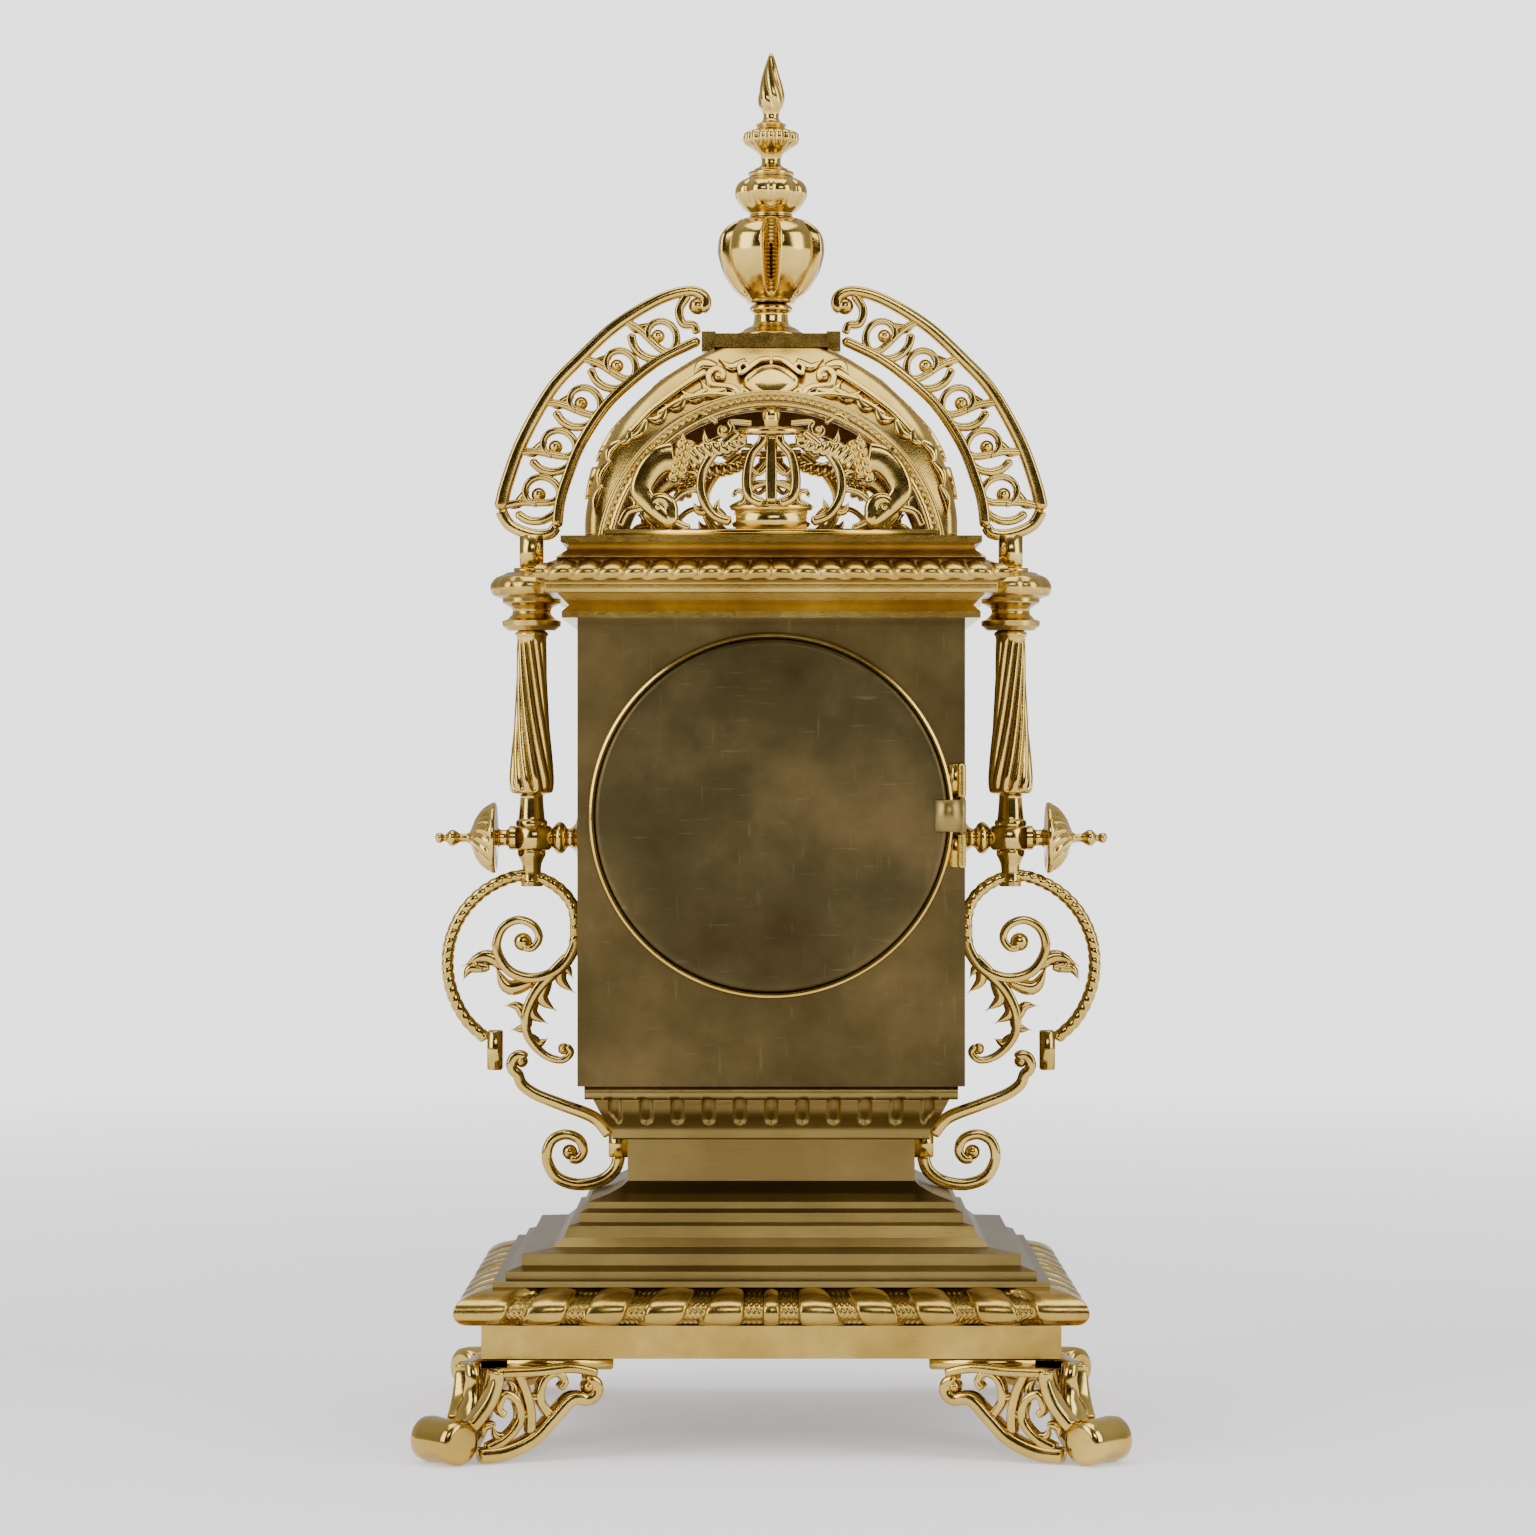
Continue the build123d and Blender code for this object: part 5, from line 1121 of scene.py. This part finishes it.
for sx, sy, node in ((-1, -1, "foot_rear_left"), (1, -1, "foot_rear_right"), (-1, 1, "foot_front_left"),
                     (1, 1, "foot_front_right")):
    foot = Skin()
    for x0, y0, x1, y1 in ((-BASE_X + 36.0, -BASE_Y + WEB_IN, -TOE[0] + 6, -TOE[1] + 3 - 6),
                           (-BASE_X + WEB_IN, -BASE_Y + 36.0, -TOE[0] - 3 + 6, -TOE[1] + 6)):
        foot.place, run = wing_place(x0, y0, x1, y1, sx, sy)
        at = lambda *points: [(share * run, z) for share, z in points]
        ribbon(foot, curl(0.10 * run, 21.6, 1.2, 4.3, 60, 250, 11) + at((0.24, 17.6), (0.36, 12.4),
                                                                        (0.50, 6.8), (0.70, 3.2),
                                                                        (0.90, 2.6)), 4.0, 4.8, 3.4,
               count=130)
        ball(foot, 0.10 * run, 21.6, 2.1, 3.4)
        ribbon(foot, at((0.96, 11.4), (0.90, 14.0), (0.82, 18.6), (0.77, 24.0), (0.76, 28.0)), 4.6, 4.0,
               3.3)
        ribbon(foot, at((0.84, 4.4), (0.70, 7.4), (0.60, 12.6), (0.62, 18.4), (0.71, 20.6),
                        (0.75, 16.6), (0.70, 14.0)), 3.4, 2.4, 2.5)
        ribbon(foot, at((0.38, 13.4), (0.45, 18.6), (0.42, 24.4), (0.33, 26.4), (0.27, 23.6),
                        (0.31, 21.2)), 3.2, 2.3, 2.4)
        ribbon(foot, at((0.52, 8.0), (0.52, 15.0), (0.56, 22.0), (0.62, 27.4)), 3.2, 3.2, 2.3)
        ribbon(foot, at((0.02, 25.4), (0.22, 27.4), (0.48, 27.0), (0.78, 27.2)), 3.0, 3.0, 2.8)
        for root, tip, wide, bend in FOOT_LEAVES:
            leaf(foot, at(root)[0], at(tip)[0], wide, 2.3, bend)
    for wide, deep in ((40.0, 8.0), (8.0, 40.0)):
        slab_bar(foot, *sorted((sx * BASE_X, sx * (BASE_X - wide))),
                 *sorted((sy * BASE_Y, sy * (BASE_Y - deep))), 26.7, 30.0, 0.5)
    a = np.linspace(0, 2 * pi, 48, endpoint=False)
    rows = []
    for reach, radius in TOE_ROLL:
        out, up_ = radius * np.cos(a), 6.95 + radius * np.sin(a)
        rows.append(np.column_stack([sx * (TOE[0] + (out + reach) * sqrt(0.5)),
                                     sy * (TOE[1] + (out - reach) * sqrt(0.5)), np.maximum(up_, 0.0)]))
    foot.grid(np.array(rows), around=True, capped=True)
    lift = []
    for half, out, z in ARRIS:
        base_x, base_y = TOE[0] - 10.0 + out * 0.72, TOE[1] - 10.0 + out * 0.72
        ring = []
        for c, d in ((-1, -2.2), (-1, 0.4), (-0.5, 1.3), (0, 1.7), (0.5, 1.3), (1, 0.4), (1, -2.2)):
            ring.append((sx * (base_x + (d + c * half) * sqrt(0.5)),
                         sy * (base_y + (d - c * half) * sqrt(0.5)), z))
        lift.append(ring)
    foot.grid(np.array(lift, float), around=True, capped=True)
    foot.piece("pierced_foot_" + node[5:], "clock_case", gilt_bright, node)

# ---- Collar ----
# A cast and filed ovolo under the case, cut with short round-topped flutes on all four sides.

collar_low, collar_high = (np.array(corner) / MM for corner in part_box("fluted_collar"))
FLUTE_PITCH = 9.7


def collar_flutes(place, t, half):
    """Hollows with round ends, spaced evenly from the middle of each side."""
    off = np.abs(np.mod(place + FLUTE_PITCH / 2, FLUTE_PITCH) - FLUTE_PITCH / 2)
    along = (t - 0.46) / 0.17
    round_end = np.sqrt(max(0.0, 1.0 - max(0.0, abs(along)) ** 6))
    reach = 2.1 * round_end
    hollow = np.sqrt(np.clip(1.0 - (off / max(reach, 0.01)) ** 2, 0, 1)) if reach > 0.05 else 0.0 * off
    return -1.15 * hollow * (np.abs(place) < half - 3.0)


foot_z = collar_low[2]
collar_profile = [(-3.0, foot_z), (0.0, foot_z), (0.0, foot_z + 0.9)]
collar_profile += list(through([(0.0, foot_z + 1.0), (0.3, foot_z + 3.0), (1.6, foot_z + 5.4),
                                (3.6, foot_z + 8.4), (5.0, foot_z + 11.2), (5.7, foot_z + 12.6)], 34))
collar_profile += [(5.8, foot_z + 12.9), (8.4, foot_z + 13.0), (8.45, foot_z + 15.0),
                   (8.45, foot_z + 17.2), (4.0, foot_z + 17.2)]
framed(Skin(), collar_high[0] - 8.5, collar_high[1] - 8.5, collar_profile, collar_flutes, 420).piece(
    "fluted_ovolo", "clock_case", steps_brass, "fluted_collar")

# ---- Rear door ----
# A spun brass disc, slightly domed, in a thin ring soldered to the case. It turns on a hinge of
# three drawn knuckles at its right edge and is left as dark as the case.

AXIS_UP = (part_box("dial")[0][2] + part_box("dial")[1][2]) / 2 / MM
HINGE = (58.9, -46.9)
centre_z = (0, 0, AXIS_UP)
door = Skin()
lathe(door, crisp((48.9, 44.1), (48.9, 47.9), (54.2, 47.9),
                  (54.2, 48.9)) + [tuple(r) for r in through([(54.0, 49.3), (53.2, 49.5), (46.0, 49.62),
                                                              (30.0, 49.85), (12.0, 50.0),
                                                              (0.4, 50.05)], 40)], centre_z, "-y", 160,
      sharp=True)
door.piece("spun_door", "rear_door", door_patina, "rear_door", slot="patina_brass")
door_leaf = Skin()
slab_bar(door_leaf, 50.6, HINGE[0], -50.1, -48.4, AXIS_UP - 5.0, AXIS_UP + 5.0, 0.25)
slab_bar(door_leaf, HINGE[0] - 0.9, HINGE[0] + 0.9, -49.5, -47.9, AXIS_UP - 5.0, AXIS_UP + 5.0, 0.2)
lathe(door_leaf, crisp((1.1, AXIS_UP - 5.0), (1.3, AXIS_UP - 4.7), (1.3, AXIS_UP + 4.7),
                       (1.1, AXIS_UP + 5.0)), (*HINGE, 0), around=32, sharp=True)
door_leaf.piece("door_hinge_leaf", "rear_door", steps_brass)
ring_skin = Skin()
lathe(ring_skin, crisp((54.62, 45.0), (56.6, 45.0), (56.6, 46.6), (56.2, 47.3), (55.6, 47.6),
                       (54.9, 47.3), (54.62, 46.8)) + [(54.62, 45.0)], centre_z, "-y", 160, sharp=True,
      capped=False)
for low_z, high_z in ((-16.0, -5.6), (5.6, 16.0)):
    slab_bar(ring_skin, 55.1, HINGE[0], -46.4, -45.0, AXIS_UP + low_z, AXIS_UP + high_z, 0.2)
    lathe(ring_skin, crisp((1.1, AXIS_UP + low_z), (1.3, AXIS_UP + low_z + 0.3),
                           (1.3, AXIS_UP + high_z - 0.3), (1.1, AXIS_UP + high_z)), (*HINGE, 0),
          around=32, sharp=True)
ring_skin.piece("door_ring_and_knuckles", "clock_case", gilt_bright, "rear_door_ring")
dress(steps_brass, "rear_door_hinge_pin")

# ---- Pin brackets ----
# Turned brackets that carry the rosette pins: a square block on a flange with ball beads.

for side, word in ((-1, "left"), (1, "right")):
    bracket_low, bracket_high = (np.array(corner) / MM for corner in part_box("pin_bracket_" + word))
    pin_up = (bracket_low[2] + bracket_high[2]) / 2
    inner_x, outer_x = sorted((abs(bracket_low[0]), abs(bracket_high[0])))
    bracket = Skin()
    lathe(bracket, [(5.4, 0.0), (7.3, 0.4), (7.3, 1.7), (5.0, 2.4), (3.4, 3.6), (3.0, 5.0), (4.6, 6.2),
                    (5.2, 7.6), (4.4, 9.0), (3.2, 10.0), (3.2, 10.8)], (side * inner_x, 0, pin_up),
          "x" if side > 0 else "-x", 56)
    slab_bar(bracket, *sorted((side * (inner_x + 10.3), side * (outer_x))), -4.6, 4.6, pin_up - 3.9,
             pin_up + 3.9, 0.7)
    bracket.piece("turned_bracket_" + word, "clock_case", gilt_bright, "pin_bracket_" + word)

# ---- Dial, bezel and glass ----
# A white enamelled disc with black painted numerals and minute dots, under a flat glass held in a
# gilt bezel with a row of pearls. The bezel is hinged like the door.

enamel = Finish("white_enamel")
enamel_material = enamel.shade(Base_Color=enamel.blend(enamel.noise(30.0), (0.90, 0.885, 0.84),
                                                       (0.84, 0.82, 0.76)),
                               Roughness=enamel.noise(220.0) * 0.08 + 0.10, Coat_Weight=0.6,
                               Normal=enamel.bump(enamel.noise(90.0), 0.05, 0.0001))
paint = Finish("black_paint")
paint_material = paint.shade(Base_Color=paint.blend(paint.noise(400.0), (0.012, 0.011, 0.012),
                                                    (0.03, 0.026, 0.026)),
                             Roughness=paint.noise(300.0) * 0.2 + 0.3)
clear = Finish("clear_glass")
glass_material = clear.shade(Base_Color=(0.97, 0.985, 0.98, 1.0),
                             Roughness=(clear.noise(60.0) * 0.02 + 0.01), Transmission_Weight=1.0,
                             IOR=1.46)
dress(enamel_material, "dial")
dress(glass_material, "front_glass")
dress(gilt_bright, "front_bezel")


def round_dial(angle_deg, u, v):
    """From across and outwards at an angle clockwise from twelve to X and Z on the dial."""
    a = radians(angle_deg)
    return (-v * sin(a) - u * cos(a), AXIS_UP + v * cos(a) - u * sin(a))


numerals = Skin()
NUMERAL_R = 36.0
PAINT_Y = (46.15, 46.26)
LETTER_HALF = 3.8
STROKES = {"I": ((0, 0, 0.55), ), "V": ((-1.5, 0, 0.3), (1.5, 0, 0.55)), "X": ((-1.5, 1.5, 0.3),
                                                                               (1.5, -1.5, 0.55))}
WIDTHS = {"I": 2.0, "V": 4.4, "X": 4.4}
WORDS = ("XII", "I", "II", "III", "IIII", "V", "VI", "VII", "VIII", "IX", "X", "XI")
for hour, word in enumerate(WORDS):
    pen = -sum(WIDTHS[letter] for letter in word) / 2
    for letter in word:
        mid = pen + WIDTHS[letter] / 2
        pen += WIDTHS[letter]
        for top, foot_, half in STROKES[letter]:
            corners = ((mid + top - half, LETTER_HALF), (mid + top + half, LETTER_HALF),
                       (mid + foot_ + half, -LETTER_HALF), (mid + foot_ - half, -LETTER_HALF))
            spots = [round_dial(hour * 30, u, NUMERAL_R + v) for u, v in corners]
            rows = [[(x, y, z) for x, z in spots] for y in PAINT_Y]
            numerals.grid(np.array(rows), around=True, capped=True)
numerals.piece("painted_numerals", "clock_case", paint_material, slot="enamel", flat=True)
dot_tree = pearl_tree("dots_on_ring", (1.0, 0.18, 1.0))
DOT_R, PEARL_R = 43.2, 53.4
DOT_PITCH = 2 * pi * DOT_R / 60 * 0.99995


def ring_line_at(radius, y):
    """A closed ring of points round the dial's centre."""
    return [(radius * cos(a), y, AXIS_UP + radius * sin(a)) for a in np.linspace(0, 2 * pi, 361)]


grown("minute_dots", [ring_line_at(DOT_R, 46.2)], dot_tree,
      {"Spacing": DOT_PITCH * MM, "Radius": 0.42 * MM, "Metal": paint_material}, "clock_case")
grown("bezel_pearls", [ring_line_at(PEARL_R, 52.5)], pearls,
      {"Spacing": 2.6 * MM, "Radius": 0.95 * MM, "Metal": gilt_bright}, "bezel")

# ---- Hands ----
# Pierced spade hands sawn from steel sheet, polished and blued over a flame.

steel = Finish("blued_steel")
blue = steel.blend(steel.ramp(steel.noise(60.0), (0.35, (0, 0, 0)), (0.7, (1, 1, 1))),
                   (0.012, 0.03, 0.11), (0.03, 0.075, 0.22))
blued = steel.shade(Base_Color=blue, Metallic=1.0, Roughness=steel.noise(300.0) * 0.12 + 0.16,
                    Normal=steel.bump(steel.noise(700.0), 0.1, 0.0001))
grey = Finish("plain_steel")
plain_steel = grey.shade(Base_Color=grey.blend(grey.noise(80.0), (0.42, 0.42, 0.43),
                                               (0.56, 0.56, 0.57)), Metallic=1.0,
                         Roughness=grey.noise(400.0) * 0.2 + 0.18, Normal=grey.bump(grey.noise(500.0),
                                                                                    0.15, 0.0001))


def hand_place(angle_deg, y):
    """Place that turns a hand drawn pointing up to its hour on the dial."""
    a = radians(angle_deg)

    def place(rows):
        laid = rows.copy()
        u, v = rows[..., 0], rows[..., 2]
        laid[..., 0] = -v * sin(a) - u * cos(a)
        laid[..., 2] = AXIS_UP + v * cos(a) - u * sin(a)
        laid[..., 1] = y + rows[..., 1]
        return laid
    return place


for name, angle, y, reach, spade, hub, body, node in (
        ("spade_hour_hand", 305.0, 47.9, 27.0, 3.6, 3.4, "hour_hand", "hour_hand"),
        ("spade_minute_hand", 60.0, 49.1, 39.0, 2.6, 2.6, "centre_arbor", "minute_hand")):
    place = hand_place(angle, y)
    hand = Skin(place)
    ribbon(hand, [(0, hub - 0.6), (0, reach * 0.52), (0, reach * 0.60)], 1.5, 1.1, 0.29, flat=0.4)
    for side in (-1, 1):
        ribbon(hand, [(0, reach * 0.58), (side * spade * 0.7, reach * 0.62),
                      (side * spade, reach * 0.72), (side * spade * 0.55, reach * 0.82),
                      (0, reach * 0.9)], 1.1, 0.9, 0.29, flat=0.4)
    ribbon(hand, [(0, reach * 0.87), (0, reach * 0.94), (0, reach)], 1.5, 0.3, 0.29, flat=0.4)
    bore = 0.8 if node == "minute_hand" else 1.5
    a = np.linspace(0, 2 * pi, 40, endpoint=False)
    rows = np.array([[(r * cos(t), d, r * sin(t)) for t in a] for r, d in ((bore, -0.3), (hub, -0.3),
                                                                           (hub, 0.15),
                                                                           (hub - 0.4, 0.3),
                                                                           (bore, 0.3), (bore, -0.3))])
    hand.grid(place(rows), around=True)
    if node == "hour_hand":
        rows = np.array([[(r * cos(t), d, r * sin(t)) for t in a]
                         for r, d in ((1.5, 0.0), (2.2, 0.0), (2.2, -12.2), (1.5, -12.2), (1.5, 0.0))])
        hand.grid(place(rows), around=True)
    hand.piece(name, body, blued, node, slot="blued_steel")

# ---- Movement ----
# A round eight-day movement: two turned brass plates on five pillars, spring barrels, a going
# train to the anchor, and a bell behind. The plates are grained; the screws are blued steel.

plate_brass = brushed("grained_plates", (0.78, 0.60, 0.27), (0.62, 0.45, 0.18), "z")
wheel_brass = gilt("lacquered_wheels", (0.83, 0.62, 0.27), (0.70, 0.49, 0.18), 0.18, 0.08)
bell_bronze = gilt("polished_bell", (0.80, 0.60, 0.36), (0.66, 0.47, 0.27), 0.10, 0.06)
dress(plate_brass, "movement_front_plate", "movement_back_plate", "movement_straps")
dress(wheel_brass, "movement_pillars", "centre_wheel", "third_wheel", "escape_wheel", "going_barrel",
      "strike_barrel", "pendulum_cock")
dress(plain_steel, "anchor", "hammer", "bell_stand")
dress(bell_bronze, "bell")


def screw_tree(name):
    """A node group that sets a slotted screw head on every point."""
    tree, add, tie, source = open_tree(name, "Head Radius", "Head Height")
    head, slot_bar = add("GeometryNodeMeshCylinder"), add("GeometryNodeMeshCube")
    cut = add("GeometryNodeMeshBoolean")
    head.inputs["Vertices"].default_value = 32
    slot_bar.inputs["Size"].default_value = (0.02, 0.00045, 0.0008)
    lift, spots = add("GeometryNodeTransform"), add("GeometryNodeInstanceOnPoints")
    lift.inputs["Translation"].default_value = (0.0, 0.0, 0.0006)
    spots.inputs["Rotation"].default_value = (pi / 2, 0.6, 0.0)
    tie(source.outputs["Head Radius"], head.inputs["Radius"])
    tie(source.outputs["Head Height"], head.inputs["Depth"])
    tie(slot_bar.outputs["Mesh"], lift.inputs["Geometry"])
    tie(head.outputs["Mesh"], cut.inputs["Mesh 1"])
    tie(lift.outputs["Geometry"], cut.inputs["Mesh 2"])
    tie(source.outputs["Geometry"], spots.inputs["Points"])
    tie(cut.outputs["Mesh"], spots.inputs["Instance"])
    return close_tree(tree, source, spots.outputs["Instances"])


screws = screw_tree("plate_screws")
heads = [[(42.6 * cos(radians(a)), -5.6, AXIS_UP + 42.6 * sin(radians(a)))
          for a in (-12, 60, 120, 192, 270)]]
grown("plate_screw_heads", heads, screws, {"Head Radius": 2.4 * MM, "Head Height": 1.2 * MM,
                                           "Metal": blued}, "clock_case")

# The bob is a brass lens on a thin round brass rod.
bob_low, bob_high = (np.array(corner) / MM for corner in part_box("pendulum"))
bob_y, bob_up = (bob_low[1] + bob_high[1]) / 2, bob_low[2] + 13.0
bob = Skin()
lathe(bob, [(0.3, -3.0), (4.0, -2.98), (8.0, -2.5), (11.6, -1.4), (12.9, -0.4), (12.9, 0.4),
            (11.6, 1.4), (8.0, 2.5), (4.0, 2.98), (0.3, 3.0)], (0, bob_y, bob_up), "y", 96)
lathe(bob, crisp((0.8, bob_up + 12.6), (0.8, bob_high[2] - 3.0)), (0, bob_y, 0), around=24, sharp=True)
slab_bar(bob, -2.0, 2.0, bob_y - 1.0, bob_y + 1.0, bob_high[2] - 3.4 + 0.05, bob_high[2] - 0.05, 0.2)
bob.piece("pendulum_lens_and_rod", "pendulum", wheel_brass, "pendulum", slot="pendulum_brass")
